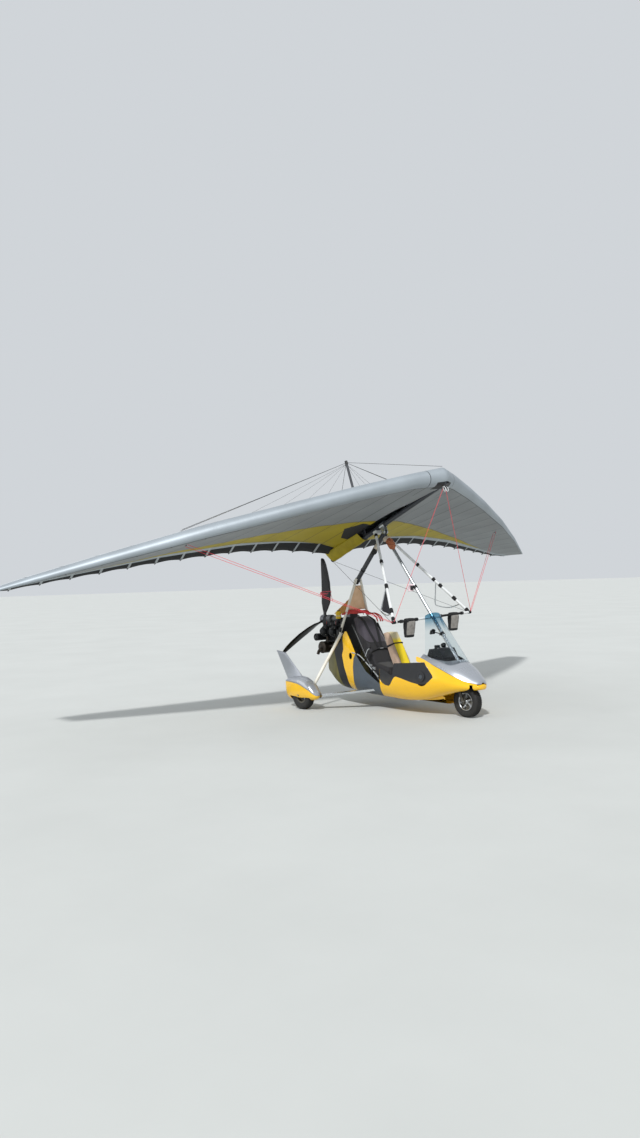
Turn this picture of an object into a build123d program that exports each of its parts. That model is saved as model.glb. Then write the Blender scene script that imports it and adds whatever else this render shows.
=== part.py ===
from build123d import *
import os
from math import asin, cos, degrees, hypot, radians, sin, sqrt, tan

# Weight-shift microlight trike with its flexible wing, parked on its three wheels
# Lengths in millimetres; +X forward, +Y to port, +Z up, ground at Z = 0
# Pieces are placed from the main axle's centre, then moved so that the origin is under the middle

# Wheels and undercarriage
wheelbase = 2018.0
half_track = 867.0
tyre_radius = 186.0
tyre_width = 112.0
rim_radius = 104.0
rim_width = 84.0
axle_radius = 10.0
axle_clearance = 0.05
tow_pin_radius = 8.0
tow_pin_length = 24.0
wheel_gap = 8.0
steer_rake = 18.0
steer_offset = 20.0
stem_radius = 16.0
leg_root_x = 890.0
carrier_thickness = 14.0
gear_strut_radius = 21.0
spat_width = 178.0
spat_wall = 5.0
spat_round = 30.0
spat_split = ((-700, 350), (-150, 347), (60, 316), (200, 262), (280, 205), (700, 205))

# Keel beam, mast and front strut
beam_width = 56.0
beam_height = 64.0
beam_z = 262.0
mast_radius = 30.0
mast_fork_x = 124.0
mast_fork_z = 1620.0
mast_leg_radius = 17.0
strut_radius = 21.0
strut_foot_x = wheelbase - 125
strut_foot_z = 652.0
bolt_radius = 8.0

# Wing, in its own frame: X along the keel tube, origin on the tube's axis
wing_x = 620.0
wing_z = 2324.0
parked_pitch = 21.35
parked_roll = 2.72
keel_radius = 30.0
keel_wall = 2.5
keel_nose_x = 1280.0
keel_tail_x = -1060.0
hang_block_x = 60.0
hang_block_length = 84.0
pitch_bolt_drop = 92.0
sail_wall = 3.0
tuck_gap = 34.0
bar_gap = 12.5
bar_drop = 1388.0
bar_half = 700.0
bar_radius = 14.0
mitt_height = 200.0
upright_radius = 17.0
upright_top_x = -48.0
upright_top_y = 62.0
knuckle_radius = 20.0
kingpost_radius = 17.0
kingpost_foot_x = -300.0
kingpost_top_x = -194.0
kingpost_top_z = 1085.0
stay_radius = 2.5

# Engine and propeller
prop_x = -577.0
prop_z = 1110.0
prop_radius = 864.0
prop_lean = 3.4
blade_count = 3
hub_radius = 62.0
shaft_radius = 20.0
mount_x = 40.0
mount_thickness = 24.0

# Fuselage shells
shell_wall = 5.0
screen_wall = 3.0
seat_edge_x = 860.0
seat_gap = 0.3

# The sail's sections: distance out from the keel, nose X and height, nose radius,
# trailing edge X and height, crest above the chord line, share of the chord with two surfaces
sail_sections = (
    (0.15, 1336.0, 87.0, 114.0, -1001.0, 32.2, 196.0, 0.93),
    (350.0, 1176.0, 101.0, 93.0, -1030.0, 118.0, 196.0, 0.90),
    (900.0, 912.0, 90.0, 90.0, -1045.0, 176.0, 190.0, 0.88),
    (1600.0, 558.0, 67.0, 88.0, -1080.0, 197.0, 172.0, 0.86),
    (2600.0, 12.0, 39.0, 88.0, -1235.0, 178.0, 148.0, 0.84),
    (3600.0, -587.0, 4.0, 67.0, -1480.0, 145.0, 108.0, 0.84),
    (4300.0, -1041.0, -15.0, 45.0, -1668.0, 123.0, 70.0, 0.82),
    (4687.0, -1295.0, -26.0, 20.0, -1700.0, 110.0, 32.0, 0.76),
)

# The hull's sections: x, floor height, floor half width, bilge top height, bilge half width,
# rim height, rim half width
rear_hull = (
    (-340.0, 372.0, 60.0, 470.0, 150.0, 900.0, 150.0),
    (-75.0, 245.0, 130.0, 420.0, 255.0, 900.0, 262.0),
    (300.0, 195.0, 180.0, 400.0, 300.0, 900.0, 300.0),
    (seat_edge_x, 165.0, 200.0, 365.0, 315.0, 900.0, 305.0),
)
front_hull = (
    (seat_edge_x, 165.0, 200.0, 365.0, 315.0, 705.0, 305.0),
    (wheelbase - 718, 158.0, 200.0, 400.0, 328.0, 705.0, 308.0),
    (wheelbase - 491, 180.0, 190.0, 430.0, 322.0, 702.0, 300.0),
    (wheelbase - 218, 250.0, 160.0, 440.0, 290.0, 588.0, 264.0),
    (wheelbase + 12, 312.0, 135.0, 405.0, 222.0, 484.0, 212.0),
    (wheelbase + 132, 330.0, 95.0, 385.0, 160.0, 432.0, 152.0),
    (wheelbase + 222, 336.0, 40.0, 372.0, 84.0, 404.0, 78.0),
)
tub_hull = (
    (950.0, 168.9, 178.0, 350.0, 290.0, 650.0, 268.0),
    (wheelbase - 718, 163.3, 178.0, 380.0, 300.0, 650.0, 268.0),
    (wheelbase - 491, 185.3, 160.0, 410.0, 285.0, 650.0, 262.0),
    (wheelbase - 328, 227.1, 150.0, 420.0, 268.0, 650.0, 245.0),
)

# The nose deck's sections: x, crease half width, crease height, crown height
deck_sections = (
    (wheelbase - 458, 292.0, 688.0, 800.0),
    (wheelbase - 218, 262.0, 589.0, 716.0),
    (wheelbase + 12, 210.0, 485.0, 607.0),
    (wheelbase + 132, 150.0, 433.0, 521.0),
    (wheelbase + 222, 76.0, 405.0, 448.0),
)
nose_tip_x = wheelbase + 248


def rod(start, end, radius, bore=0.0):
    """A round bar or tube between two points."""
    a = Vector(*start)
    b = Vector(*end)
    profile = Circle(radius)
    if bore > 0:
        profile = profile - Circle(bore)
    return extrude(Plane(origin=a, z_dir=b - a) * profile, amount=(b - a).length)


def flat_bar(start, end, width, depth, across=(0, 1, 0)):
    """A rectangular bar between two points, its width along the given direction."""
    a = Vector(*start)
    b = Vector(*end)
    plane = Plane(origin=a, x_dir=Vector(*across), z_dir=b - a)
    return extrude(plane * Rectangle(width, depth), amount=(b - a).length)


def side_slab(points, low_y, high_y):
    """An outline drawn in side view, given its thickness across the craft."""
    face = make_face(Polyline(*points, close=True))
    return extrude(Plane.XZ.offset(-high_y) * face, amount=high_y - low_y)


def plan_slab(points, low_z, high_z):
    """An outline drawn in plan, given its height."""
    face = make_face(Polyline(*points, close=True))
    return extrude(Plane.XY.offset(low_z) * face, amount=high_z - low_z)


def cross_rod(x, y, z, radius, length):
    """A round bar across the craft, centred on a point."""
    return rod((x, y - length / 2, z), (x, y + length / 2, z), radius)


def hollow_section(x, floor_z, floor_half, side_z, side_half, rim_z, rim_half):
    """One U-shaped section of the hull's wall, as a face at its station."""
    def corner(wall):
        low = (floor_half, floor_z + wall)
        high = (side_half - wall, side_z)
        turn = (low[0] + 0.707 * (high[0] - low[0]), low[1] + 0.293 * (high[1] - low[1]))
        return low, turn, high, (rim_half - wall, rim_z)

    def flip(point):
        return (-point[0], point[1])

    low, turn, high, rim = corner(0.0)
    low_in, turn_in, high_in, rim_in = corner(shell_wall)
    edges = [
        Line(flip(rim), flip(high)),
        ThreePointArc(flip(high), flip(turn), flip(low)),
        Line(flip(low), low),
        ThreePointArc(low, turn, high),
        Line(high, rim),
        Line(rim, rim_in),
        Line(rim_in, high_in),
        ThreePointArc(high_in, turn_in, low_in),
        Line(low_in, flip(low_in)),
        ThreePointArc(flip(low_in), flip(turn_in), flip(high_in)),
        Line(flip(high_in), flip(rim_in)),
        Line(flip(rim_in), flip(rim)),
    ]
    plane = Plane(origin=(x, 0, 0), x_dir=(0, 1, 0), z_dir=(1, 0, 0))
    return plane * make_face(edges)


def hull(sections):
    return loft([hollow_section(*row) for row in sections], ruled=True)


def deck_section(x, half, crease_z, crown_z):
    """The nose deck's domed skin at one station."""
    drop = shell_wall
    edges = [
        ThreePointArc((-half, crease_z), (0, crown_z), (half, crease_z)),
        Line((half, crease_z), (half - drop, crease_z)),
        ThreePointArc((half - drop, crease_z), (0, crown_z - drop), (drop - half, crease_z)),
        Line((drop - half, crease_z), (-half, crease_z)),
    ]
    plane = Plane(origin=(x, 0, 0), x_dir=(0, 1, 0), z_dir=(1, 0, 0))
    return plane * make_face(edges)


def make_pod_shell():
    """Lower front fairing: open cockpit sides, open under the nose for the wheel."""
    shell = hull(front_hull)
    n = wheelbase
    cut = (
        (n - 273, 490), (n - 378, 372), (n - 458, 352), (n - 598, 430), (n - 688, 432),
        (n - 768, 350), (n - 858, 338), (1090, 440), (980, 480), (780, 560), (780, 1000),
        (n - 578, 1000), (n - 518, 705), (n - 518, 640), (n - 398, 640),
    )
    shell -= side_slab(cut, -500, 500)
    well = plan_slab(((n - 183, -140), (n + 182, -140), (n + 182, 140), (n - 183, 140)), 0, 398)
    shell -= well
    tip = loft([
        Plane(origin=(n + 222, 0, 370), x_dir=(0, 1, 0), z_dir=(1, 0, 0)) * RectangleRounded(150, 66, 30),
        Plane(origin=(nose_tip_x, 0, 376), x_dir=(0, 1, 0), z_dir=(1, 0, 0)) * RectangleRounded(70, 34, 15),
    ], ruled=True)
    return shell + tip


def make_nose_deck():
    n = wheelbase
    deck = Pos(0, 0, seat_gap) * loft([deck_section(*row) for row in deck_sections], ruled=True)
    bay = plan_slab(
        ((n - 518, -240), (n - 318, -226), (n - 138, -150), (n - 78, 0), (n - 138, 150), (n - 318, 226),
         (n - 518, 240)),
        500, 900,
    )
    return deck - bay


def screen_curve(rear_x, side_x, front_x, rear_half, side_half, wall):
    """The windscreen's outline in plan, from one rear edge round the front to the other."""
    edges = [
        Line((rear_x, -rear_half), (side_x, -side_half)),
        ThreePointArc((side_x, -side_half), (front_x, 0), (side_x, side_half)),
        Line((side_x, side_half), (rear_x, rear_half)),
        Line((rear_x, rear_half), (rear_x, rear_half - wall)),
        Line((rear_x, rear_half - wall), (side_x, side_half - wall)),
        ThreePointArc((side_x, side_half - wall), (front_x - wall, 0), (side_x, wall - side_half)),
        Line((side_x, wall - side_half), (rear_x, wall - rear_half)),
        Line((rear_x, wall - rear_half), (rear_x, -rear_half)),
    ]
    return make_face(edges)


def deck_block(row):
    """The space under the deck's skin at one station, down to the wheel."""
    x, half, crease_z, crown_z = row
    edges = [
        ThreePointArc((-half, crease_z), (0, crown_z), (half, crease_z)),
        Line((half, crease_z), (half, 200)),
        Line((half, 200), (-half, 200)),
        Line((-half, 200), (-half, crease_z)),
    ]
    plane = Plane(origin=(x, 0, 0), x_dir=(0, 1, 0), z_dir=(1, 0, 0))
    return plane * make_face(edges)


def make_windscreen():
    """Clear screen, wide on the deck and narrow at the top, open to the rear."""
    low = Plane(origin=(wheelbase - 408, 0, 640), x_dir=(0.981, 0, -0.194), z_dir=(0.194, 0, 0.981))
    high = Plane(origin=(wheelbase - 524, 0, 1186), x_dir=(0.85, 0, 0.527), z_dir=(-0.527, 0, 0.85))
    screen = loft([
        low * screen_curve(0, 262, 446, 268, 206, screen_wall),
        high * screen_curve(0, 34, 66, 122, 104, screen_wall),
    ], ruled=True)
    return screen - Pos(0, 0, 2 * seat_gap) * loft([deck_block(row) for row in deck_sections], ruled=True)


def soft_block(points, width, radius):
    """A cushion: a side outline with width, its long edges rounded."""
    block = side_slab(points, -width / 2, width / 2)
    return fillet(block.edges().filter_by(Axis.Y, reverse=True), radius)


def cut_corners(width, depth, cut):
    """A rectangle with its corners cut off, as a face at the origin."""
    w = width / 2
    d = depth / 2
    return make_face(Polyline(
        (w - cut, -d), (w, cut - d), (w, d - cut), (w - cut, d),
        (cut - w, d), (-w, d - cut), (-w, cut - d), (cut - w, -d), close=True))


def hood_loft(wall):
    """The hood's pyramid behind the mast; with a wall it is the room inside."""
    return loft([
        Pos(-82, 0, 1196 - wall) * cut_corners(286 - 2 * wall, 300 - 2 * wall, 40),
        Pos(98, 0, 1450 - 2 * wall) * cut_corners(40 - wall, 60 - wall, 8),
    ], ruled=True)


def airfoil(row):
    """Maps one sail section's chord distance and height to the wing's frame."""
    y, lead_x, lead_z, nose, tail_x, tail_z, crest, share = row
    chord = hypot(lead_x - tail_x, tail_z - lead_z)
    twist = asin((tail_z - lead_z) / chord)

    def place(s, h):
        return (lead_x - s * cos(twist) - h * sin(twist), lead_z + s * sin(twist) + h * cos(twist))

    # circle through the nose's top, the crest and the trailing edge
    x1, y1, x2, y2, x3, y3 = nose, nose, 0.33 * chord, crest, chord, 0.0
    d = 2 * (x1 * (y2 - y3) + x2 * (y3 - y1) + x3 * (y1 - y2))
    sq1, sq2, sq3 = x1**2 + y1**2, x2**2 + y2**2, x3**2 + y3**2
    cx = (sq1 * (y2 - y3) + sq2 * (y3 - y1) + sq3 * (y1 - y2)) / d
    cy = (sq1 * (x3 - x2) + sq2 * (x1 - x3) + sq3 * (x2 - x1)) / d
    big = hypot(x1 - cx, y1 - cy)

    def top(s, inset=0.0):
        return (s, cy + sqrt((big - inset) ** 2 - (s - cx) ** 2))

    return chord, nose, share * chord, place, top


def sail_outer(row):
    chord, nose, rear, place, top = airfoil(row)
    under = (rear, top(rear)[1] - min(tuck_gap, 0.5 * top(rear)[1]))
    last = chord - 1.0
    face = [
        ThreePointArc(place(nose, -nose), place(0, 0), place(nose, nose)),
        ThreePointArc(place(nose, nose), place(*top(0.3 * chord)), place(*top(rear))),
        ThreePointArc(place(*top(rear)), place(*top((last + rear) / 2)), place(*top(last))),
        Line(place(*top(last)), place(*top(last, sail_wall))),
        ThreePointArc(place(*top(last, sail_wall)), place(*top((last + rear) / 2, sail_wall)),
                      place(*top(rear, sail_wall))),
        Line(place(*top(rear, sail_wall)), place(*under)),
        Line(place(*under), place(nose, -nose)),
    ]
    return Plane.XZ.offset(-row[0]) * make_face(face)


def sail_cavity(row, y):
    chord, nose, rear, place, top = airfoil(row)
    t = sail_wall
    under = (rear, top(rear)[1] - min(tuck_gap, 0.5 * top(rear)[1]))
    slope = (under[1] + nose) / (rear - nose)
    end = rear - 2 * t
    face = [
        ThreePointArc(place(nose, t - nose), place(t, 0), place(*top(nose, t))),
        ThreePointArc(place(*top(nose, t)), place(*top(0.3 * chord, t)), place(*top(end, t))),
        Line(place(*top(end, t)), place(end, under[1] + t - 2 * t * slope)),
        Line(place(end, under[1] + t - 2 * t * slope), place(nose, t - nose)),
    ]
    return Plane.XZ.offset(-y) * make_face(face)


def make_sail_half():
    """Port half of the sail, in the wing's frame: a hollow double surface, then one skin."""
    skin = loft([sail_outer(row) for row in sail_sections], ruled=True)
    rooms = [sail_cavity(sail_sections[0], -1.0)]
    rooms += [sail_cavity(row, row[0]) for row in sail_sections[1:-1]]
    skin -= loft(rooms, ruled=True)
    slot_plan = ((1060, 0), (1060, 34), (700, 112), (300, 150), (-200, 150), (-330, 60), (-330, 0))
    slot = plan_slab(slot_plan, -200, 110)
    skin -= slot
    skin -= rod((keel_tail_x - 50, 0, 0), (keel_nose_x + 2, 0, 0), keel_radius + seat_gap)
    post_foot = (kingpost_foot_x, 0, 0)
    post_top = (kingpost_top_x, 0, kingpost_top_z)
    skin -= rod(post_foot, post_top, kingpost_radius + seat_gap)
    return skin


wing_place = Pos(wing_x, 0, wing_z) * Rot(0, -parked_pitch, 0) * Rot(parked_roll, 0, 0)
pieces = {}


def wheel_parts(side_y, x, name):
    """Tyre and rim of one wheel."""
    half = tyre_width / 2
    shoulder = 22.0
    tyre_profile = make_face(Polyline(
        (rim_radius, 14 - half), (rim_radius, half - 14), (tyre_radius - shoulder, half),
        (tyre_radius, half - shoulder), (tyre_radius, shoulder - half), (tyre_radius - shoulder, -half),
        close=True))
    spin = Plane(origin=(x, side_y, tyre_radius), x_dir=(1, 0, 0), z_dir=(0, 0, 1))
    tyre = revolve(spin * tyre_profile, Axis((x, side_y, tyre_radius), (0, 1, 0)))
    edge = rim_width / 2
    rim_profile = make_face(Polyline(
        (axle_radius + axle_clearance, -26), (24, -26), (24, -8), (rim_radius - 16, -8),
        (rim_radius - 16, -edge), (rim_radius - 0.3, -edge), (rim_radius - 0.3, edge),
        (rim_radius - 16, edge), (rim_radius - 16, 8), (24, 8), (24, 26),
        (axle_radius + axle_clearance, 26), close=True))
    rim = revolve(spin * rim_profile, Axis((x, side_y, tyre_radius), (0, 1, 0)))
    for k in range(5):
        hole = Pos(x, side_y, tyre_radius) * Rot(0, 72 * k, 0) * cross_rod(56, 0, 0, 19, 60)
        rim -= hole
    pieces[name + "_tyre"] = tyre
    pieces[name + "_rim"] = rim


def make_fork():
    """Steering fork: two legs beside the tyre, a crown over it, a raked stem and foot pegs."""
    rake = radians(steer_rake)
    back = Vector(-sin(rake), 0, cos(rake))
    centre = Vector(wheelbase - steer_offset, 0, tyre_radius)
    crown = centre + back * (tyre_radius + 34)
    top = centre + back * (tyre_radius + 250)
    gap = tyre_width / 2 + wheel_gap
    side = gap + 14
    parts = rod(crown - back * 10, top, stem_radius)
    parts += flat_bar(crown - Vector(0, side + 14, 0), crown + Vector(0, side + 14, 0), 56, 26, (1, 0, 0))
    for sign in (-1, 1):
        foot = (wheelbase, sign * side, tyre_radius)
        head = (crown.X, sign * side, crown.Z)
        parts += flat_bar(foot, head, 24, 34)
        inner_end = (wheelbase, sign * (gap + 2), tyre_radius)
        outer_end = (wheelbase, sign * (gap + 26), tyre_radius)
        parts += rod(inner_end, outer_end, 24)
    parts -= cross_rod(wheelbase, 0, tyre_radius, axle_radius + axle_clearance, 2 * side + 60)
    peg = crown + back * 60
    parts += rod((peg.X, -190, peg.Z), (peg.X, 190, peg.Z), 11)
    return parts, crown, top, back


def spat_block(outline, y, half):
    """A spat's body: the side outline, drawn in towards both faces."""
    small = offset(outline, amount=-spat_round, kind=Kind.INTERSECTION)
    faces = []
    layers = ((-half, small), (spat_round - half, outline), (half - spat_round, outline), (half, small))
    for away, face in layers:
        faces.append(Plane.XZ.offset(-y - away) * face)
    return loft(faces, ruled=True)


# Nose wheel and fork
wheel_parts(0, wheelbase, "nose")
fork, crown, stem_top, rake_axis = make_fork()
pieces["fork"] = fork
nose_axle = cross_rod(wheelbase, 0, tyre_radius, axle_radius, tyre_width + 2 * wheel_gap + 60)
pin_span = tyre_width + 2 * wheel_gap + 60 + 2 * tow_pin_length
nose_axle += cross_rod(wheelbase, 0, tyre_radius, tow_pin_radius, pin_span)
pieces["nose_axle"] = nose_axle

# Main wheels with their axles, legs, struts and spats
for sign, side in ((1, "left"), (-1, "right")):
    wheel_parts(sign * half_track, 0, side)

carrier_y = half_track - spat_width / 2 - seat_gap
axles = []
legs = []
struts = []
spat_bowls = []
spat_caps = []
for sign in (1, -1):
    axle_end = half_track + spat_width / 2 + 4
    axle_start = sign * (carrier_y - 16)
    axles.append(rod((0, axle_start, tyre_radius), (0, sign * axle_end, tyre_radius), axle_radius))
    low_y, high_y = sorted((sign * (carrier_y - carrier_thickness), sign * carrier_y))
    carrier_side = ((-34, 160), (-34, 214), (84, 322), (132, 322), (250, 205), (250, 150))
    carrier = side_slab(carrier_side, low_y, high_y)
    leg = flat_bar((leg_root_x, sign * (beam_width / 2 + seat_gap), 270), (218, sign * (carrier_y - 6), 178),
                   26, 96, (0, 0, 1))
    leg = leg - side_slab(((0, 0), (400, 0), (400, 400), (0, 400)), *sorted((sign * carrier_y, sign * 1000)))
    leg = leg - flat_bar((110, 0, beam_z), (1500, 0, beam_z), beam_width + 2 * seat_gap, beam_height)
    leg += carrier
    leg -= cross_rod(0, sign * carrier_y, tyre_radius, axle_radius + seat_gap, 80)
    legs.append(leg)
    strut_y = carrier_y - carrier_thickness - seat_gap
    strut = rod((97, sign * 265, 955), (108, sign * (strut_y + 40), 266), gear_strut_radius)
    strut -= Pos(97, sign * 265, 944.7 + 50) * Box(120, 120, 100)
    outboard = sorted((sign * strut_y, sign * (strut_y + 200)))
    strut -= side_slab(((0, 0), (400, 0), (400, 500), (0, 500)), *outboard)
    struts.append(strut)
    outline = make_face([
        Line((-292, 127), (-13, 100)),
        Line((-13, 100), (278, 146)),
        Line((278, 146), (300, 190)),
        ThreePointArc((300, 190), (206, 332), (21, 420)),
        ThreePointArc((21, 420), (-160, 424), (-300, 356)),
        Line((-300, 356), (-318, 215)),
        Line((-318, 215), (-292, 127)),
    ])
    inside = offset(outline, amount=-spat_wall, kind=Kind.INTERSECTION)
    body = spat_block(outline, sign * half_track, spat_width / 2)
    hollow = spat_block(inside, sign * half_track, spat_width / 2 - spat_wall)
    body -= hollow
    body -= Pos(0, sign * half_track, 0) * Box(2 * tyre_radius + 40, tyre_width + 30, 320)
    fin_y = sign * half_track
    fin = side_slab(((0, 424), (-354, 712), (-561, 736), (-306, 340)), fin_y - 9, fin_y + 9)
    body += fin - hollow
    body -= cross_rod(0, sign * half_track, tyre_radius, axle_radius + seat_gap, 400)
    above = side_slab(spat_split + ((700, 900), (-700, 900)), *sorted((0, sign * 1200)))
    spat_bowls.append(body - Pos(0, 0, -seat_gap) * above)
    spat_caps.append(body & above)
pieces["axles"] = Compound(children=axles)
pieces["gear_legs"] = Compound(children=legs)
pieces["gear_struts"] = Compound(children=struts)
pieces["spat_bowls"] = Compound(children=spat_bowls)
pieces["spat_caps"] = Compound(children=spat_caps)

# Keel beam, steering head, mast and front strut
beam_bend = Vector(1470, 0, beam_z)
beam = flat_bar((110, 0, beam_z), (beam_bend.X + 30, 0, beam_z), beam_width, beam_height)
beam_end = Vector(wheelbase - 206, 0, 470)
beam_rise = (beam_end - beam_bend).normalized()
beam += flat_bar(beam_bend, beam_end, beam_width, 50)
wing_axis = Vector(cos(radians(parked_pitch)), 0, sin(radians(parked_pitch)))
wing_up = Vector(-sin(radians(parked_pitch)), 0, cos(radians(parked_pitch)))
bolt = Vector(wing_x, 0, wing_z) + wing_axis * hang_block_x - wing_up * pitch_bolt_drop
strut_head = bolt + Vector(30, 0, -74)
strut_line = (Vector(strut_foot_x, 0, strut_foot_z) - strut_head).normalized()

# The hand bar lies this far forward in the wing's frame, a small gap behind the strut
strut_normal = Vector(-strut_line.Z, 0, strut_line.X)
bar_start = Vector(wing_x, 0, wing_z) - wing_up * bar_drop
bar_room = strut_radius + bar_radius + bar_gap
bar_x = -(bar_room + strut_normal.dot(bar_start - strut_head)) / strut_normal.dot(wing_axis)
head_low = crown + rake_axis * 84
head_high = crown + rake_axis * 200
head = rod(head_low, head_high, 27)
head += flat_bar(beam_end + beam_rise * seat_gap, beam_end + beam_rise * 90, beam_width, 50)
socket_end = Vector(strut_foot_x, 0, strut_foot_z) + strut_line * 60
head += rod((strut_foot_x, 0, strut_foot_z), socket_end, strut_radius + 3)
head += flat_bar(socket_end - strut_line * 20, (head_low + head_high) * 0.5, 34, 34)
head -= rod(crown, stem_top + rake_axis * 20, stem_radius + axle_clearance)
pieces["keel_beam"] = beam
pieces["steering_head"] = head
mast_foot = Vector(mast_fork_x, 0, mast_fork_z)
mast_line = (bolt - mast_foot).normalized()
mast = rod(mast_foot, bolt - mast_line * 34, mast_radius)
lug = cross_rod(bolt.X, 0, bolt.Z, 22, 40) + flat_bar(bolt - mast_line * 40, bolt, 40, 36)
lug -= cross_rod(bolt.X, 0, bolt.Z, bolt_radius + axle_clearance, 60)
mast += lug
pieces["mast"] = mast
mast_legs = []
leg_plane_z = 945.0
leg_space = rod(mast_foot - mast_line * seat_gap, bolt, mast_radius + seat_gap)
for sign in (1, -1):
    top = mast_foot + mast_line * 60 + Vector(0, sign * 36, 0)
    plate_face = mount_x + mount_thickness + seat_gap
    foot = Vector(plate_face + mast_leg_radius - 4, sign * 285, 925)
    leg = rod(top, foot, mast_leg_radius) - leg_space
    leg -= Pos(foot.X, foot.Y, leg_plane_z - 50) * Box(120, 120, 100)
    leg -= Pos(plate_face - 50, foot.Y, leg_plane_z) * Box(100, 120, 300)
    mast_legs.append(leg)
pieces["mast_legs"] = Compound(children=mast_legs)
pieces["front_strut"] = rod(strut_head, (strut_foot_x, 0, strut_foot_z), strut_radius)

# Shells
rear = hull(rear_hull)
for sign in (1, -1):
    rear -= flat_bar((leg_root_x, sign * (beam_width / 2), 270), (218, sign * (carrier_y - 6), 178),
                     26 + 2 * seat_gap, 96 + 2 * seat_gap, (0, 0, 1))
tail_outline = ((-345, 300), (-345, 560), (-250, 640), (-60, 640), (40, 520), (120, 150), (-200, 150))
cowl_outline = (
    (20, 700),
    (97, 855),
    (180, 855),
    (330, 640),
    (300, 365),
    (330, 150),
    (120.4, 150),
    (40.4, 520),
)
panel_outline = ((330.4, 150), (300.4, 365), (330.4, 640), (426, 620), (600, 470), (859.7, 330), (859.7, 150))
pieces["cowl_tail"] = rear & side_slab(tail_outline, -400, 400)
pieces["cowl_side"] = rear & side_slab(cowl_outline, -400, 400)
pieces["side_panels"] = rear & side_slab(panel_outline, -400, 400)
pieces["pod_shell"] = make_pod_shell()
pieces["nose_deck"] = make_nose_deck()
pieces["windscreen"] = make_windscreen()
n = wheelbase
dash_side = ((n - 418, 600), (n - 452, 700), (n - 412, 790), (n - 328, 790), (n - 218, 690), (n - 218, 640),
             (n - 278, 600))
dash_plan = (
    (n - 458, -185),
    (n - 358, -185),
    (n - 218, -110),
    (n - 218, 110),
    (n - 358, 185),
    (n - 458, 185),
)
dash_shelf = ((n - 408, -231.5), (n - 318, -225.6), (n - 218, -183.4), (n - 218, 183.4), (n - 318, 225.6),
              (n - 408, 231.5))
dash = side_slab(dash_side, -185, 185) & plan_slab(dash_plan, 500, 900)
dash += plan_slab(dash_shelf, 640, 668)
pieces["dashboard"] = dash
tub = hull(tub_hull)
tub_side = ((950, 100), (950, 420), (1060, 470), (n - 538, 610), (n - 328, 470), (n - 328, 100))
tub &= side_slab(tub_side, -400, 400)
pieces["cockpit_tub"] = tub

# Seats and the tube frame that carries them
rail_points = ((270, 1060), (560, 590), (770, 345), (1420, 345))
frame_y = 225.0
frame = None
for sign in (1, -1):
    for (x1, z1), (x2, z2) in zip(rail_points, rail_points[1:]):
        tube = rod((x1, sign * frame_y, z1), (x2, sign * frame_y, z2), 14)
        frame = tube if frame is None else frame + tube
    for x1, z1 in rail_points[1:3]:
        frame += Pos(x1, sign * frame_y, z1) * Sphere(14)
for x, z in ((620, 405.7), (860, 405.7), (1010, 385.7), (1280, 385.7)):
    rail_z = 345 if x > 770 else 345 + (770 - x) * 245 / 210
    frame += cross_rod(x, 0, z, 14, 2 * frame_y)
    for sign in (1, -1):
        frame += rod((x, sign * frame_y, z), (x, sign * frame_y, rail_z), 14)
for x in (800, 1400):
    frame += cross_rod(x, 0, beam_z + beam_height / 2 + 14.3, 14, 2 * frame_y)
    for sign in (1, -1):
        frame += rod((x, sign * frame_y, 308.3), (x, sign * frame_y, 345), 14)
pieces["seat_frame"] = frame
rear_seat = ((150, 1140), (215, 1175), (330, 1120), (640, 560), (900, 500), (900, 420), (560, 420))
front_seat = ((690, 960), (800, 975), (1010, 560), (1330, 480), (1330, 400), (960, 400))
pieces["seat_rear"] = soft_block(rear_seat, 400, 25)
pieces["seat_front"] = soft_block(front_seat, 280, 25)

# Engine
plate_low = mount_x
plate_high = mount_x + mount_thickness
mount = side_slab(((plate_low, 700), (plate_high, 700), (plate_high, 1150), (plate_low, 1150)), -230, 230)
mount += side_slab(((plate_low, 890), (plate_high, 890), (plate_high, 990), (plate_low, 990)), -305, 305)
mount_tongue = ((plate_low, 1150), (plate_high, 1150), (plate_high, 1195.7), (plate_low, 1195.7))
mount += side_slab(mount_tongue, -60, 60)
mount += side_slab(((8, 1122), (plate_high, 1122), (plate_high, 1132), (8, 1132)), -292, -200)
mount += side_slab(((plate_low, 270), (plate_high, 270), (plate_high, 700), (plate_low, 700)), -90, 90)
pieces["engine_mount"] = mount
starter_x = -413.0
starter_z = 879.0
starter_radius = 50.0
cylinder_z = 960.0
fin_radius = 76.0
cover_radius = 46.0
cylinder_rows = (-290, -100)
pipe_y = 195.0
pipe_radius = 17.0
filter_radius = 52.0
case_top = 1080.0
case_low = 820.0
case_front = plate_low - seat_gap
case_rear = -420.0
case_side = ((case_front, case_low), (case_front, case_top), (case_rear, case_top), (case_rear, case_low))
crankcase = side_slab(case_side, -120, 120)
crankcase += rod((case_rear, 0, prop_z - 60), (-500, 0, prop_z - 60), 100)
crankcase += rod((-500, 0, prop_z), (prop_x + 42, 0, prop_z), 58)
crankcase += rod((prop_x + 42, 0, prop_z), (prop_x - 20, 0, prop_z), shaft_radius)
crankcase += rod((starter_x, -100, starter_z), (starter_x, -300, starter_z), starter_radius)
pieces["crankcase"] = crankcase
cylinders = []
for sign in (1, -1):
    for cx in cylinder_rows:
        barrel = rod((cx, sign * 120.3, cylinder_z), (cx, sign * 270, cylinder_z), 58)
        for k in range(6):
            fin_y = sign * (140 + 20 * k)
            barrel += rod((cx, fin_y, cylinder_z), (cx, fin_y + sign * 6, cylinder_z), fin_radius)
        barrel += rod((cx, sign * 270, cylinder_z), (cx, sign * 290, cylinder_z), cover_radius)
        cylinders.append(barrel)
pieces["cylinders"] = Compound(children=cylinders)
carbs = []
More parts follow.
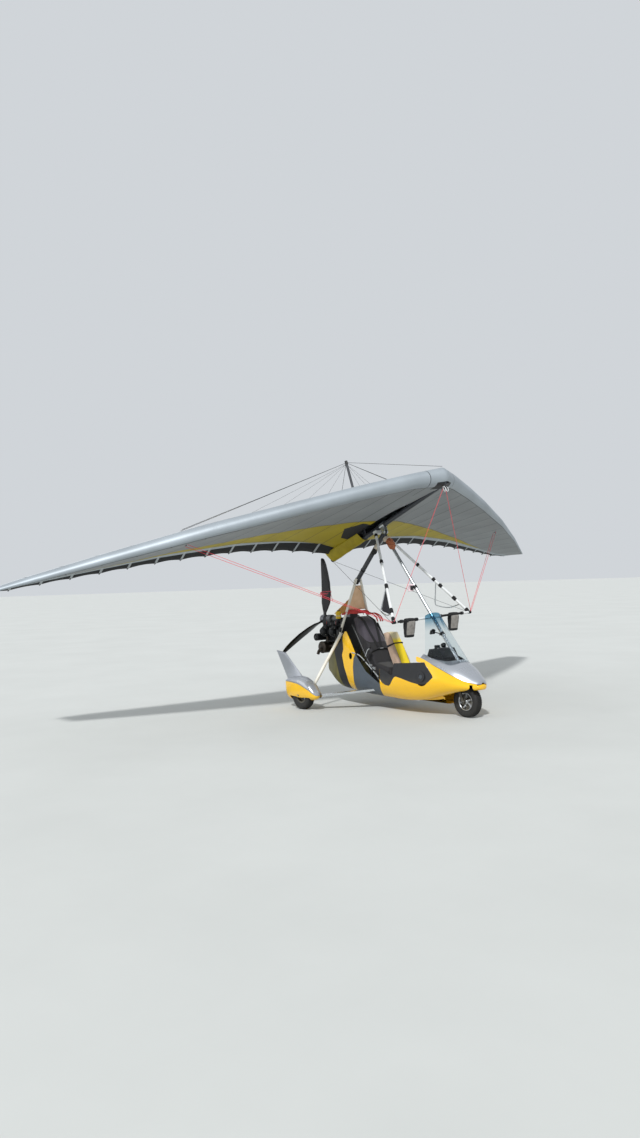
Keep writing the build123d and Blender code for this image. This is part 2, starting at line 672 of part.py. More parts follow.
for sign in (1, -1):
    carb = rod((-60, sign * 170, 1130), (-180, sign * 170, 1130), 40)
    carb += rod((-120, sign * 105, case_top + seat_gap), (-120, sign * 105, 1155), 24)
    carb += rod((-120, sign * 95, 1130), (-120, sign * 160, 1130), 20)
    carb += rod((-180, sign * 182, 1132), (-262, sign * 182, 1132), filter_radius)
    carbs.append(carb)
pieces["carburettors"] = Compound(children=carbs)
silencer_z = case_low - 80.3
exhaust = cross_rod(-330, 0, silencer_z, 80, 520)
for sign in (1, -1):
    for cx, low_z in zip(cylinder_rows, (silencer_z, silencer_z + 40)):
        bend = (cx, sign * pipe_y, low_z)
        pipe = rod((cx, sign * pipe_y, cylinder_z - 40), bend, pipe_radius)
        pipe += Pos(*bend) * Sphere(pipe_radius)
        pipe += rod(bend, (-310, sign * pipe_y, silencer_z), pipe_radius)
        exhaust += pipe - cross_rod(cx, sign * pipe_y, cylinder_z, fin_radius + seat_gap, 120)
pieces["exhaust"] = exhaust
pieces["coolant_bottle"] = Pos(34, -262, 1132.3 + 55) * fillet(Box(52, 58, 110).edges(), 24)
hood = hood_loft(0) - hood_loft(shell_wall)
pieces["top_cowl"] = hood

# Propeller
hub = rod((prop_x + 36, 0, prop_z), (prop_x - 36, 0, prop_z), hub_radius)
hub -= rod((prop_x + 40, 0, prop_z), (prop_x - 25, 0, prop_z), shaft_radius + axle_clearance)
pieces["prop_hub"] = hub
blades = []
# Blade sections: share of the radius, chord, thickness, blade angle in degrees
blade_sections = ((0.072, 60, 44, 60), (0.3, 128, 26, 38), (0.65, 118, 16, 24), (1.0, 56, 7, 16))
for k in range(blade_count):
    sections = []
    for share, chord, thick, angle in blade_sections:
        turn = radians(angle)
        plane = Plane(origin=(0, 0, share * prop_radius), x_dir=(sin(turn), cos(turn), 0), z_dir=(0, 0, 1))
        sections.append(plane * make_face([
            ThreePointArc((-chord / 2, 0), (0, thick / 2), (chord / 2, 0)),
            ThreePointArc((chord / 2, 0), (0, -thick / 2), (-chord / 2, 0)),
        ]))
    blade = loft(sections, ruled=True)
    blades.append(Pos(prop_x, 0, prop_z) * Rot(-prop_lean + 360 / blade_count * k, 0, 0) * blade)
pieces["prop_blades"] = Compound(children=blades)

# Wing
sail = make_sail_half()
pieces["sail_left"] = wing_place * sail
pieces["sail_right"] = wing_place * mirror(sail, Plane.XZ)
keel = rod((keel_tail_x, 0, 0), (keel_nose_x, 0, 0), keel_radius, keel_radius - keel_wall)
for end in (-1, 1):
    start = hang_block_x + end * (hang_block_length / 2 + seat_gap)
    keel += rod((start, 0, 0), (start + end * 12, 0, 0), keel_radius + 7, keel_radius - keel_wall)
pieces["keel_tube"] = wing_place * keel

no_roll = Pos(wing_x, 0, wing_z) * Rot(0, -parked_pitch, 0)
block_low = hang_block_x - hang_block_length / 2
collar_bore = keel_radius + axle_clearance
collar = rod((block_low, 0, 0), (block_low + hang_block_length, 0, 0), keel_radius + 9, collar_bore)
cheek_low = -pitch_bolt_drop
for sign in (1, -1):
    cheek = Pos(hang_block_x, sign * 27, (cheek_low - 24) / 2) * Box(56, 12, -cheek_low - 24)
    cheek += cross_rod(hang_block_x, sign * 27, cheek_low, 28, 12)
    collar += cheek
collar -= rod((hang_block_x - 100, 0, 0), (hang_block_x + 100, 0, 0), keel_radius + axle_clearance)
collar += cross_rod(hang_block_x, 0, cheek_low, bolt_radius, 90)
pieces["hang_block"] = no_roll * collar

top_z = -keel_radius - seat_gap
bracket = Pos(upright_top_x, 0, top_z - 20) * Box(52, 2 * upright_top_y + 2 * upright_radius, 40)
for sign in (1, -1):
    upright_top = (upright_top_x, sign * upright_top_y, top_z - 22)
    bracket += rod(upright_top, (bar_x, sign * (bar_half - 14), -bar_drop), upright_radius)
knuckle_end = bar_half + 8 + seat_gap
knuckle_room = knuckle_radius + seat_gap
knuckle_space = rod((bar_x, -knuckle_end, -bar_drop), (bar_x, knuckle_end, -bar_drop), knuckle_room)
bracket -= knuckle_space
pieces["uprights"] = wing_place * bracket
bar = rod((bar_x, -bar_half, -bar_drop), (bar_x, bar_half, -bar_drop), bar_radius)
for sign in (1, -1):
    knuckle_start = (bar_x, sign * (bar_half - 36), -bar_drop)
    bar += rod(knuckle_start, (bar_x, sign * (bar_half + 8), -bar_drop), knuckle_radius)
pieces["base_bar"] = wing_place * bar
mitts = []
for sign in (1, -1):
    grip = wing_place * Pos(bar_x, sign * 400, -bar_drop) * Rot(0, parked_pitch, 0)
    mitts.append(grip * Pos(-22, 0, -bar_radius - seat_gap - mitt_height / 2) * Box(84, 190, mitt_height))
pieces["bar_mitts"] = Compound(children=mitts)
kingpost_foot = (kingpost_foot_x, 0, 0)
kingpost_top = (kingpost_top_x, 0, kingpost_top_z)
keel_space = rod((keel_tail_x, 0, 0), (keel_nose_x, 0, 0), keel_radius + seat_gap)
pieces["kingpost"] = wing_place * (rod(kingpost_foot, kingpost_top, kingpost_radius) - keel_space)
stays = []
reach = 0.7 * knuckle_radius
# Lower wires: start x and half width at the bar, end x, half width and height under the wing
for x, y, high_x, high_y, high_z in (
    (bar_x, knuckle_end, -310, 2750, -12),
    (bar_x + reach, bar_half - 4, 1210, 12, -42),
    (bar_x - reach, bar_half + 2, keel_tail_x + 20, 12, -36),
):
    for sign in (1, -1):
        stay = rod((x, sign * y, -bar_drop), (high_x, sign * high_y, high_z), stay_radius)
        stays.append(stay - knuckle_space)
for sign in (1, -1):
    upper = rod((kingpost_top_x, 0, kingpost_top_z - 20), (-328, sign * 2750, 190), stay_radius)
    stays.append(upper - rod(kingpost_foot, kingpost_top, kingpost_radius + seat_gap))
pieces["stays"] = wing_place * Compound(children=stays)

# The origin is on the ground, under the middle of the whole craft
boxes = [shape.bounding_box() for shape in pieces.values()]
origin_x = (min(box.min.X for box in boxes) + max(box.max.X for box in boxes)) / 2
os.makedirs("parts", exist_ok=True)
for name, shape in pieces.items():
    solids = [Pos(-origin_x, 0, 0) * solid for solid in shape.solids()]
    moved = solids[0] if len(solids) == 1 else Compound(children=solids)
    export_step(moved, "parts/" + name + ".step")
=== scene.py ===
from math import asin, copysign, cos, hypot, pi, radians, sin, sqrt

import bmesh
import bpy
import numpy as np
from mathutils import Matrix, Vector
from mathutils.bvhtree import BVHTree


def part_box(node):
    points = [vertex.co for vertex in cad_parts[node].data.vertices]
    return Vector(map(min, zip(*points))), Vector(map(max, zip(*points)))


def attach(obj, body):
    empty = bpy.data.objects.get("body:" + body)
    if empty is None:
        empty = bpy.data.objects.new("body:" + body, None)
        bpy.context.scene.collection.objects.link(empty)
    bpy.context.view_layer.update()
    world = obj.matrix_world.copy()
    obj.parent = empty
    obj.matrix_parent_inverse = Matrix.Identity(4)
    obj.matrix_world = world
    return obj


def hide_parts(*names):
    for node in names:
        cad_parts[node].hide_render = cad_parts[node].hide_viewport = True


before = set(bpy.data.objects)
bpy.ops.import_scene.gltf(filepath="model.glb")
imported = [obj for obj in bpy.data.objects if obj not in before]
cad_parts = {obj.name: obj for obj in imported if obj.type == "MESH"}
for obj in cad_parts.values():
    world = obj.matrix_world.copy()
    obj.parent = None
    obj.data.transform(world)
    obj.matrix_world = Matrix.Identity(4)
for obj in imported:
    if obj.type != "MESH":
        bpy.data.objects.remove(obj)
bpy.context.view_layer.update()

# The studio: a plain pale floor, one broad soft key light from the right of the camera, a weaker
# fill from the left and a pale surround. The camera stands where the photograph was taken.
axle_low, axle_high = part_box("left_rim")
axle_x = (axle_low.x + axle_high.x) / 2


def at(x, y, z):
    """A place in millimetres from the main axle, as metres in the frame."""
    return Vector((axle_x + x / 1000, y / 1000, z / 1000))


def srgb(code):
    """A hex colour as the linear colour that shaders read."""
    parts = [int(code[i:i + 2], 16) / 255 for i in (1, 3, 5)]
    return (*[c / 12.92 if c <= 0.04045 else ((c + 0.055) / 1.055) ** 2.4 for c in parts], 1.0)


def feed(node, inputs):
    """Sets a node's inputs, and links those given as a node or a socket; colours are hex codes."""
    for key, value in inputs.items():
        if isinstance(value, bpy.types.Node):
            value = next(output for output in value.outputs if output.enabled)
        if isinstance(value, bpy.types.NodeSocket):
            node.id_data.links.new(value, node.inputs[key])
        else:
            is_colour = isinstance(value, str) and value.startswith("#")
            node.inputs[key].default_value = srgb(value) if is_colour else value
    return node


def put(tree, kind, inputs=None, **options):
    """Adds one node with its options and its inputs."""
    made = tree.nodes.new(kind)
    for name, value in options.items():
        setattr(made, name, value)
    return feed(made, inputs or {})


def blank(name):
    """A new material, its tree and its shader."""
    material = bpy.data.materials.new(name)
    material.use_nodes = True
    return material, material.node_tree, material.node_tree.nodes["Principled BSDF"]


def finish_of(name, colour, second, roughness, metallic=0.0, patch=150.0, grain=3.0, bump=0.0,
              dust=0.0, spread=0.08, extra=None):
    """A finish of two close colours in soft patches, with a fine grain; patch and grain in mm.
    Dust lies on it below 0.45 m and is full at 0.05 m above the ground."""
    material, tree, shader = blank(name)
    place = put(tree, "ShaderNodeTexCoord").outputs["Object"]
    cloud = put(tree, "ShaderNodeTexNoise",
                {"Scale": 1000 / patch, "Detail": 5.0, "Roughness": 0.6, "Vector": place})
    out = put(tree, "ShaderNodeValToRGB", {"Fac": cloud})
    for stop, share, code in zip(out.color_ramp.elements, (0.35, 0.68), (colour, second)):
        stop.position, stop.color = share, srgb(code)
    if dust > 0:
        height = put(tree, "ShaderNodeSeparateXYZ", {"Vector": place}).outputs["Z"]
        low = put(tree, "ShaderNodeMapRange",
                  {"From Min": 0.45, "From Max": 0.05, "To Max": dust, "Value": height})
        speck = put(tree, "ShaderNodeMath", {0: low, 1: cloud}, operation="MULTIPLY")
        out = put(tree, "ShaderNodeMix", {0: speck, 6: out, 7: "#9b927c"}, data_type="RGBA")
    wear = put(tree, "ShaderNodeMapRange", {"To Min": max(0.02, roughness - spread),
                                            "To Max": min(1.0, roughness + spread), "Value": cloud})
    feed(shader, {"Metallic": metallic, "Base Color": out, "Roughness": wear, **(extra or {})})
    if bump > 0:
        fine = put(tree, "ShaderNodeTexNoise",
                   {"Scale": 1000 / grain, "Detail": 2.0, "Vector": place})
        relief = put(tree, "ShaderNodeBump",
                     {"Strength": bump, "Distance": grain / 4000, "Height": fine})
        feed(shader, {"Normal": relief})
    return material


def link_object(name, data):
    """A new object, linked to the scene."""
    made = bpy.data.objects.new(name, data)
    bpy.context.scene.collection.objects.link(made)
    return made


camera_data = bpy.data.cameras.new("camera")
camera_data.lens = 25.83
camera_data.sensor_width = 36.0
camera = link_object("camera", camera_data)
bpy.context.scene.camera = camera
yaw, pitch, roll = radians(50.989), radians(1.045), radians(-1.735)
ahead = Vector((-sin(yaw) * cos(pitch), cos(yaw) * cos(pitch), sin(pitch)))
level = Vector((cos(yaw), sin(yaw), 0))
upright = level.cross(ahead)
right = cos(roll) * level + sin(roll) * upright
above = cos(roll) * upright - sin(roll) * level
turn = Matrix((right, above, -ahead)).transposed().to_4x4()
camera.matrix_world = Matrix.Translation(at(8403, -7334, 1610)) @ turn

far = 400.0
floor_mesh = bpy.data.meshes.new("floor")
floor_mesh.from_pydata([(-far, -far, 0), (far, -far, 0), (far, far, 0), (-far, far, 0)], [],
                       [(0, 1, 2, 3)])
floor = link_object("floor", floor_mesh)
floor_mesh.materials.append(finish_of("studio_floor", "#c2c4c1", "#bdbfbc", 0.85, patch=2000))

world = bpy.data.worlds.new("pale_surround")
world.use_nodes = True
feed(world.node_tree.nodes["Background"], {"Color": "#eef3f8", "Strength": 0.74})
bpy.context.scene.world = world
bpy.context.scene.view_settings.view_transform = "Standard"
for name, place, energy, angle in (
    ("key", (4.5, -6.0, 7.5), 2.9, 4.0),
    ("fill", (-5.0, -7.0, 3.0), 0.35, 40.0),
):
    lamp = bpy.data.lights.new(name, "SUN")
    lamp.energy = energy
    lamp.angle = radians(angle)
    link_object(name, lamp).rotation_euler = Vector(place).to_track_quat("Z", "Y").to_euler()


# The sail: woven polyester on an aluminium frame, two surfaces from the leading edge to past the
# middle of the chord and one from there on, drawn over battens and laced to the keel.
# Columns: distance out, nose X and height, nose radius, tail X and height, crest, doubled share
sail_table = np.array((
    (0.0, 1336.0, 87.0, 114.0, -1001.0, 32.2, 196.0, 0.93),
    (350.0, 1176.0, 101.0, 93.0, -1030.0, 118.0, 196.0, 0.90),
    (900.0, 912.0, 90.0, 90.0, -1045.0, 176.0, 190.0, 0.88),
    (1600.0, 558.0, 67.0, 88.0, -1080.0, 197.0, 172.0, 0.86),
    (2600.0, 12.0, 39.0, 88.0, -1235.0, 178.0, 148.0, 0.84),
    (3600.0, -587.0, 4.0, 67.0, -1480.0, 145.0, 108.0, 0.84),
    (4300.0, -1041.0, -15.0, 45.0, -1668.0, 123.0, 70.0, 0.82),
    (4687.0, -1295.0, -26.0, 20.0, -1700.0, 110.0, 32.0, 0.76),
))
batten_gap = 330.0
hang_point, nose_up, rolled = at(620, 0, 2324), radians(-21.35), radians(2.72)
wing = (Matrix.Translation(hang_point) @ Matrix.Rotation(nose_up, 4, "Y")
        @ Matrix.Rotation(rolled, 4, "X"))


def on_wing(x, y, z):
    """A place in the wing's own millimetres, as metres in the frame."""
    return wing @ Vector((x / 1000, y / 1000, z / 1000))


def link_mesh(name, places, faces, materials, face_materials=None, sharp=32.0):
    """A mesh object from points in metres, smooth but for the edges past an angle in degrees."""
    mesh = bpy.data.meshes.new(name)
    mesh.from_pydata([tuple(p) for p in places], [], [tuple(f) for f in faces])
    for material in materials:
        mesh.materials.append(material)
    if face_materials is not None:
        mesh.polygons.foreach_set("material_index", face_materials)
    mesh.shade_smooth()
    mesh.set_sharp_from_angle(angle=radians(sharp))
    return link_object(name, mesh)


def freeze(obj):
    """Applies every modifier, so that the piece is a plain mesh."""
    bpy.context.view_layer.update()
    graph = bpy.context.evaluated_depsgraph_get()
    done = bpy.data.meshes.new_from_object(obj.evaluated_get(graph), depsgraph=graph)
    obj.modifiers.clear()
    obj.data = done
    return obj


def reshape(obj, kind, **settings):
    """Adds one modifier with its settings and applies it."""
    step = obj.modifiers.new(kind.lower(), kind)
    for name, value in settings.items():
        setattr(step, name, value)
    return freeze(obj)


def outward(mesh, fill=False):
    """Turns a mesh's faces outward, with its open rims filled first where asked."""
    form = bmesh.new()
    form.from_mesh(mesh)
    if fill:
        bmesh.ops.holes_fill(form, edges=[e for e in form.edges if e.is_boundary])
    bmesh.ops.recalc_face_normals(form, faces=form.faces)
    form.to_mesh(mesh)
    form.free()


def grid(rows, n, closed=False, flip=False):
    """Faces between like rows of n points; closed joins each row's last point to its first."""
    quads = [(r * n + i, r * n + (i + 1) % n, (r + 1) * n + (i + 1) % n, (r + 1) * n + i)
             for r in range(rows - 1) for i in range(n if closed else n - 1)]
    return [(a, d, c, b) for a, b, c, d in quads] if flip else quads


def capped(rings):
    """Points and faces of a form through closed rings, with both ends closed."""
    n, last = len(rings[0]), (len(rings) - 1) * len(rings[0])
    ends = [tuple(range(n - 1, -1, -1)), tuple(range(last, last + n))]
    return [p for ring in rings for p in ring], grid(len(rings), n, closed=True) + ends


def carve(obj, outlines, how="DIFFERENCE"):
    """Cuts a shell by the prism between two like outlines."""
    tool = link_mesh("tool", *capped(outlines), [])
    outward(tool.data)
    reshape(obj, "BOOLEAN", operation=how, solver="EXACT", object=tool)
    bpy.data.objects.remove(tool)


def lay_uv(obj, name, values):
    """A UV layer from one pair of values for each point."""
    layer = obj.data.uv_layers.new(name=name)
    order = np.empty(len(obj.data.loops), dtype=np.int32)
    obj.data.loops.foreach_get("vertex_index", order)
    layer.data.foreach_set("uv", np.array(values, dtype=np.float32)[order].ravel())


def fit(obj, body, slot, *nodes):
    """The piece rides on its body and stands for the nodes it covers; its slot is not used."""
    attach(obj, body)
    if nodes:
        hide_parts(*nodes)
    return obj


def spaced(start, end, count):
    """Evenly spaced plain numbers."""
    return [float(v) for v in np.linspace(start, end, count)]


def turns(count):
    """Evenly spaced angles round one turn."""
    return spaced(0, 2 * pi, count + 1)[:-1]


# The cloth's form: how far it billows and is scalloped between battens, where its crest is and how
# far the undersurface's rear edge hangs below the top; then the points drawn below, round and above
billow, scallop, crest_share, rear_drop = 6, 20, 0.33, 34.0
under_count, nose_count, over_count = 22, 13, 30


def sail_outline(row):
    """The cloth's line at one station: (chord distance, height, chord share) from the rear edge
    of the undersurface round the nose to the trailing edge."""
    y, lead_x, lead_z, nose, tail_x, tail_z, crest, share = row
    chord = hypot(lead_x - tail_x, tail_z - lead_z)
    bay = abs(sin(pi * y / batten_gap))
    x1, y1, x2, y2, x3, y3 = nose, nose, crest_share * chord, crest, chord, 0.0
    d = 2 * (x1 * (y2 - y3) + x2 * (y3 - y1) + x3 * (y1 - y2))
    q1, q2, q3 = x1**2 + y1**2, x2**2 + y2**2, x3**2 + y3**2
    cx = (q1 * (y2 - y3) + q2 * (y3 - y1) + q3 * (y1 - y2)) / d
    cy = (q1 * (x3 - x2) + q2 * (x1 - x3) + q3 * (x2 - x1)) / d
    big = hypot(x1 - cx, y1 - cy)
    rear = share * chord
    edge = cy + sqrt(big**2 - (rear - cx) ** 2)
    low = edge - min(rear_drop, 0.5 * edge)
    line = []
    for t in spaced(1, 0, under_count):
        s = nose + t * (rear - nose)
        line.append((s, -nose + t * (low + nose) + billow * bay * sin(pi * t), -s / chord))
    for turned in spaced(-90, 90, nose_count + 2)[1:-1]:
        a = radians(turned)
        line.append((nose - nose * cos(a), nose * sin(a), turned / 90 * nose / chord))
    end = chord - 2 - scallop * bay
    for t in spaced(0, 1, over_count):
        s = nose + t * (end - nose)
        line.append((s, cy + sqrt(big**2 - (s - cx) ** 2) - billow * bay * sin(pi * t), s / chord))
    return line


# Ten stations a batten gap to 4200 mm out, wider ones to the tip, whose last 84 mm are flattened;
# the table's kinks are smoothed over a window of stations, but not at the keel
tip_out, flattened, window = 4684.0, 84.0, 13
stations = np.array(spaced(0, 4200, 127) + spaced(4240, tip_out, 20))
rows = np.stack([stations] + [np.interp(stations, sail_table[:, 0], sail_table[:, c])
                              for c in range(1, 8)], axis=1)
for column in (2, 5, 6, 7):
    padded = np.pad(rows[:, column], window // 2, mode="edge")
    smooth = np.convolve(padded, np.ones(window) / window, mode="valid")
    ease = np.clip((stations - 350) / 300, 0, 1)
    rows[:, column] += ease * (smooth - rows[:, column])


def drawn(row, line):
    """A sail line's (chord distance, height) turned by the station's twist, as wing X and Z."""
    twist = asin((row[5] - row[2]) / hypot(row[1] - row[4], row[5] - row[2]))
    return [(row[1] - s * cos(twist) - h * sin(twist), row[2] + s * sin(twist) + h * cos(twist))
            for s, h in line]


places, marks, plan = [], [], []
for side in (-1, 1):
    for row in (rows[::-1] if side < 0 else rows[1:]):
        tip = max(0.0, (row[0] - (tip_out - flattened)) / flattened)
        outline = sail_outline(row)
        for (x, z), (_, _, share) in zip(
                drawn(row, [(s, h * (1 - 0.7 * tip**2)) for s, h, _ in outline]), outline):
            places.append(on_wing(x, side * row[0], z))
            marks.append((side * row[0] / 1000, share))
            plan.append((side * row[0] / 1000, x / 1000))
ring_size = len(outline)
faces = grid(len(places) // ring_size, ring_size, flip=True)


def paint(tree, ground, *coats):
    """Lays coats over a ground. Each is (colour, strength, tests of (measure, low, high)), and it
    covers where all of its measures are within their limits."""
    for colour, strength, *tests in coats:
        cover = strength
        for measure, low, high in tests:
            limits = {1: (low + high) / 2, 2: (high - low) / 2}
            inside = put(tree, "ShaderNodeMath", {0: measure, **limits}, operation="COMPARE")
            cover = put(tree, "ShaderNodeMath", {0: inside, 1: cover}, operation="MULTIPLY")
        ground = put(tree, "ShaderNodeMix", {0: cover, 6: ground, 7: colour}, data_type="RGBA")
    return ground


def sail_cloth(name, inner):
    """Woven polyester sailcloth: silver leading edge, grey and yellow panels, seams at each batten,
    a fine weave; the undersurface's yellow is darkened with painted shade. The inner face of the
    single surface is pale, then painted shade darkens it to the edge."""
    material, tree, shader = blank(name)
    spread = put(tree, "ShaderNodeUVMap", uv_map="panels")
    ground = put(tree, "ShaderNodeUVMap", uv_map="plan")
    split = put(tree, "ShaderNodeSeparateXYZ", {"Vector": spread}).outputs
    ahead_of_hang = put(tree, "ShaderNodeSeparateXYZ", {"Vector": ground}).outputs["Y"]
    share = split["Y"]
    out = put(tree, "ShaderNodeMath", {0: split["X"]}, operation="ABSOLUTE")
    depth = put(tree, "ShaderNodeMath", {0: share}, operation="ABSOLUTE")
    # metres from the nearest batten
    off_batten = put(tree, "ShaderNodeMath", {0: out, 1: batten_gap / 2000}, operation="PINGPONG")
    # the yellow rear of the undersurface begins where this passes 0.51, further aft towards the tip
    aft = put(tree, "ShaderNodeMath", {0: out, 1: -0.088, 2: depth}, operation="MULTIPLY_ADD")
    # the black centre panel tapers either way from its widest place
    from_widest = put(tree, "ShaderNodeMath", {0: ahead_of_hang, 1: 0.26}, operation="ADD")
    tapered = put(tree, "ShaderNodeMath", {0: from_widest}, operation="ABSOLUTE")
    centre = put(tree, "ShaderNodeMath", {0: tapered, 1: 0.55, 2: out}, operation="MULTIPLY_ADD")
    under, top, lead_share = (share, -9, 0), (share, 0, 9), 0.055
    if inner:
        rough = 0.75
        # the inner face is pale; its dark run to the trailing edge is painted shade
        colour = paint(tree, "#a9b1b6", ("#1d1f21", 1.0, (share, 0.915, 9)),
                       ("#b9bfc2", 0.8, (off_batten, -1, 0.01485)))
    else:
        rough = 0.62
        colour = paint(
            tree, "#85898b",
            ("#b7bcc0", 1.0, top),
            # the undersurface's yellow, darker than the top's band: the cloth's yellow with painted
            # shade
            ("#a8960c", 1.0, under, (aft, 0.51, 9)),
            ("#c9a81c", 1.0, (share, 0.34, 0.5)),
            ("#17181a", 1.0, under, (centre, -9, 0.37), (ahead_of_hang, -0.53, -0.03)),
            ("#26282a", 0.72, (off_batten, -1, 0.00528), (depth, 0.05, 9)),
            ("#5d5a3c", 1.0, under, (aft, 0.502, 0.51)),
            ("#9da5ab", 1.0, (depth, -1, lead_share)),
            ("#3b3e41", 1.0, (depth, 0.0538, 0.0582)),
            ("#4a4d50", 1.0, (out, 0.206, 0.214), (depth, -1, 0.16)),
            ("#2b2d2f", 1.0, (out, -1, 0.12), (share, -0.085, -0.028)),
        )
    lead = put(tree, "ShaderNodeMath", {0: depth, 1: lead_share}, operation="LESS_THAN")
    place = put(tree, "ShaderNodeTexCoord").outputs["Object"]
    cloud = put(tree, "ShaderNodeTexNoise", {"Scale": 2.2, "Detail": 6.0, "Vector": place})
    soft = put(tree, "ShaderNodeMapRange",
               {"From Min": 0.3, "From Max": 0.7, "To Min": 0.86, "To Max": 1.06, "Value": cloud})
    toned = put(tree, "ShaderNodeVectorMath", {0: colour}, operation="SCALE")
    feed(toned, {"Scale": soft})
    sheen = put(tree, "ShaderNodeMapRange", {"To Min": rough, "To Max": 0.5, "Value": lead})
    coated = put(tree, "ShaderNodeMapRange", {"To Max": 0.0 if inner else 0.35, "Value": lead})
    # the weave is drawn at 2 mm, far coarser than the real threads, so that it can show at all
    weave = put(tree, "ShaderNodeTexWave", {"Scale": 160.0, "Distortion": 1.5, "Vector": spread})
    creases = put(tree, "ShaderNodeTexNoise",
                  {"Scale": 5.0, "Detail": 3.0, "Distortion": 0.6, "Vector": spread})
    heights = put(tree, "ShaderNodeMath", {0: weave.outputs["Fac"], 1: 0.02, 2: creases},
                  operation="MULTIPLY_ADD")
    relief = put(tree, "ShaderNodeBump", {"Strength": 0.35, "Distance": 0.006, "Height": heights})
    feed(shader, {"Base Color": toned, "Roughness": sheen, "Metallic": coated, "Normal": relief})
    return material


outer_cloth = sail_cloth("woven_polyester_sailcloth", False)
inner_cloth = sail_cloth("woven_polyester_inner_face", True)
sail = link_mesh("sail", places, faces, [outer_cloth, inner_cloth], sharp=50.0)
lay_uv(sail, "panels", marks)
lay_uv(sail, "plan", plan)
reshape(sail, "SOLIDIFY", thickness=0.003, offset=-1.0, material_offset=1, use_rim=True)

# The keel opening: the undersurface parts in a long wedge either side of the keel tube
wedge = [(1060, 0), (1060, 34), (700, 70), (450, 118), (200, 128), (-200, 118), (-300, 60),
         (-330, 0)]
wedge += [(x, -y) for x, y in wedge[-2:0:-1]]
carve(sail, [[on_wing(x, y, z) for x, y in wedge] for z in (-260, 108)])
fit(sail, "wing", "sail_cloth", "sail_left", "sail_right")


# The fuselage shells: polyester and glass laid up in moulds, gel coated and polished, 5 mm thick.
# Columns: x, floor height and half width, bilge height and half width, rim height and half width
wheelbase = 2018.0
shell_wall = 0.005
rear_table = (
    (-340, 372, 60, 470, 150, 1040, 150),
    (-75, 245, 130, 420, 255, 1040, 262),
    (300, 195, 180, 400, 300, 1040, 300),
    (860, 165, 200, 365, 315, 1040, 305),
)
front_table = (
    (860, 165, 200, 365, 315, 705, 305),
    (1300, 158, 200, 400, 328, 705, 308),
    (1527, 180, 190, 430, 322, 702, 300),
    (1800, 250, 160, 440, 290, 588, 264),
    (2030, 312, 135, 405, 222, 484, 212),
    (2150, 330, 95, 385, 160, 432, 152),
    (2240, 336, 40, 372, 84, 404, 78),
)
gel_gloss = {"Coat Weight": 0.5, "Coat Roughness": 0.05}
yellow_coat = finish_of("yellow_gel_coat", "#f2bd0a", "#ebb506", 0.16, patch=400, dust=0.12,
                        spread=0.05, extra=gel_gloss)
silver_coat = finish_of("silver_metallic_gel_coat", "#a9adb3", "#9da1a8", 0.28, metallic=0.55,
                        patch=500, dust=0.1, spread=0.06, extra=gel_gloss)
slate_coat = finish_of("slate_blue_gel_coat", "#4c5660", "#434c55", 0.38, patch=300, dust=0.15)
black_moulding = finish_of("black_moulded_polyester", "#1b1c1f", "#242528", 0.55, patch=90,
                           grain=2.0, bump=0.25, dust=0.6)


def ease_table(table, x):
    """A table's columns at x, on a curve that keeps the table's own values and slopes."""
    data = np.array(table, float)
    xs = data[:, 0]
    slopes = np.gradient(data, xs, axis=0)
    k = int(np.clip(np.searchsorted(xs, x) - 1, 0, len(xs) - 2))
    h = xs[k + 1] - xs[k]
    t = (x - xs[k]) / h
    return (data[k] * (1 + 2 * t) * (1 - t) ** 2 + slopes[k] * h * t * (1 - t) ** 2
            + data[k + 1] * t * t * (3 - 2 * t) + slopes[k + 1] * h * t * t * (t - 1))


def both_sides(x, half):
    """A ring from half an outline of (out, height): starboard first, then the same to port."""
    return [at(x, y, z) for y, z in [(-y, z) for y, z in half] + half[-2::-1]]


def hull_ring(row):
    """One station of the hull from the starboard rim under the floor to the port rim."""
    x, floor_z, floor_half, side_z, side_half, rim_z, rim_half = row
    half = [(rim_half + (side_half - rim_half) * t, rim_z + (side_z - rim_z) * t)
            for t in spaced(0, 1, 8)]
    half += [(floor_half + (side_half - floor_half) * sin(a), side_z - (side_z - floor_z) * cos(a))
             for a in spaced(pi / 2, 0, 12)[1:]]
    return both_sides(x, half + [(floor_half * t, floor_z) for t in (0.66, 0.33, 0.0)])


def skin(name, rings, material, wall, closed=False):
    """A thin shell through a list of like rings, its wall inward; no wall leaves a single skin."""
    made = link_mesh(name, [p for ring in rings for p in ring],
                     grid(len(rings), len(rings[0]), closed), [material], sharp=40)
    return reshape(made, "SOLIDIFY", thickness=wall, offset=-1.0) if wall else made


def rounded(points):
    """The outline with its corners taken off, twice over."""
    for _ in range(2):
        points = [(near * a[0] + (1 - near) * b[0], near * a[1] + (1 - near) * b[1])
                  for a, b in zip(points, points[1:] + points[:1]) for near in (0.8, 0.2)]
    return points


def trim(obj, outline, low, high, how="DIFFERENCE", plan_view=False):
    """Cuts a shell by an outline drawn in side view, or in plan."""
    carve(obj, [[at(a, b, reach) if plan_view else at(a, reach, b) for a, b in outline]
                for reach in (low, high)], how)
    obj.data.shade_smooth()
    obj.data.set_sharp_from_angle(angle=radians(36))
    return obj


# n is the nose axle's X: the outlines near the nose are drawn from it
n = wheelbase
pod_rings = [hull_ring(ease_table(front_table, x)) for x in spaced(860.5, 2238, 70)]
pod = skin("pod_shell_skin", pod_rings, yellow_coat, shell_wall)
pod_cut = [(n - 273, 490), (n - 378, 372), (n - 458, 352), (n - 598, 430), (n - 688, 432),
           (n - 768, 350), (n - 858, 338), (1090, 440), (980, 480), (780, 560), (780, 1000),
           (n - 578, 1000), (n - 518, 705), (n - 518, 640), (n - 398, 640)]
trim(pod, rounded(pod_cut), -500, 500)
wheel_bay = [(n - 183, -140), (n + 182, -140), (n + 182, 140), (n - 183, 140)]
trim(pod, wheel_bay, 0, 398, plan_view=True)
fit(pod, "trike", "yellow_shell", "pod_shell")

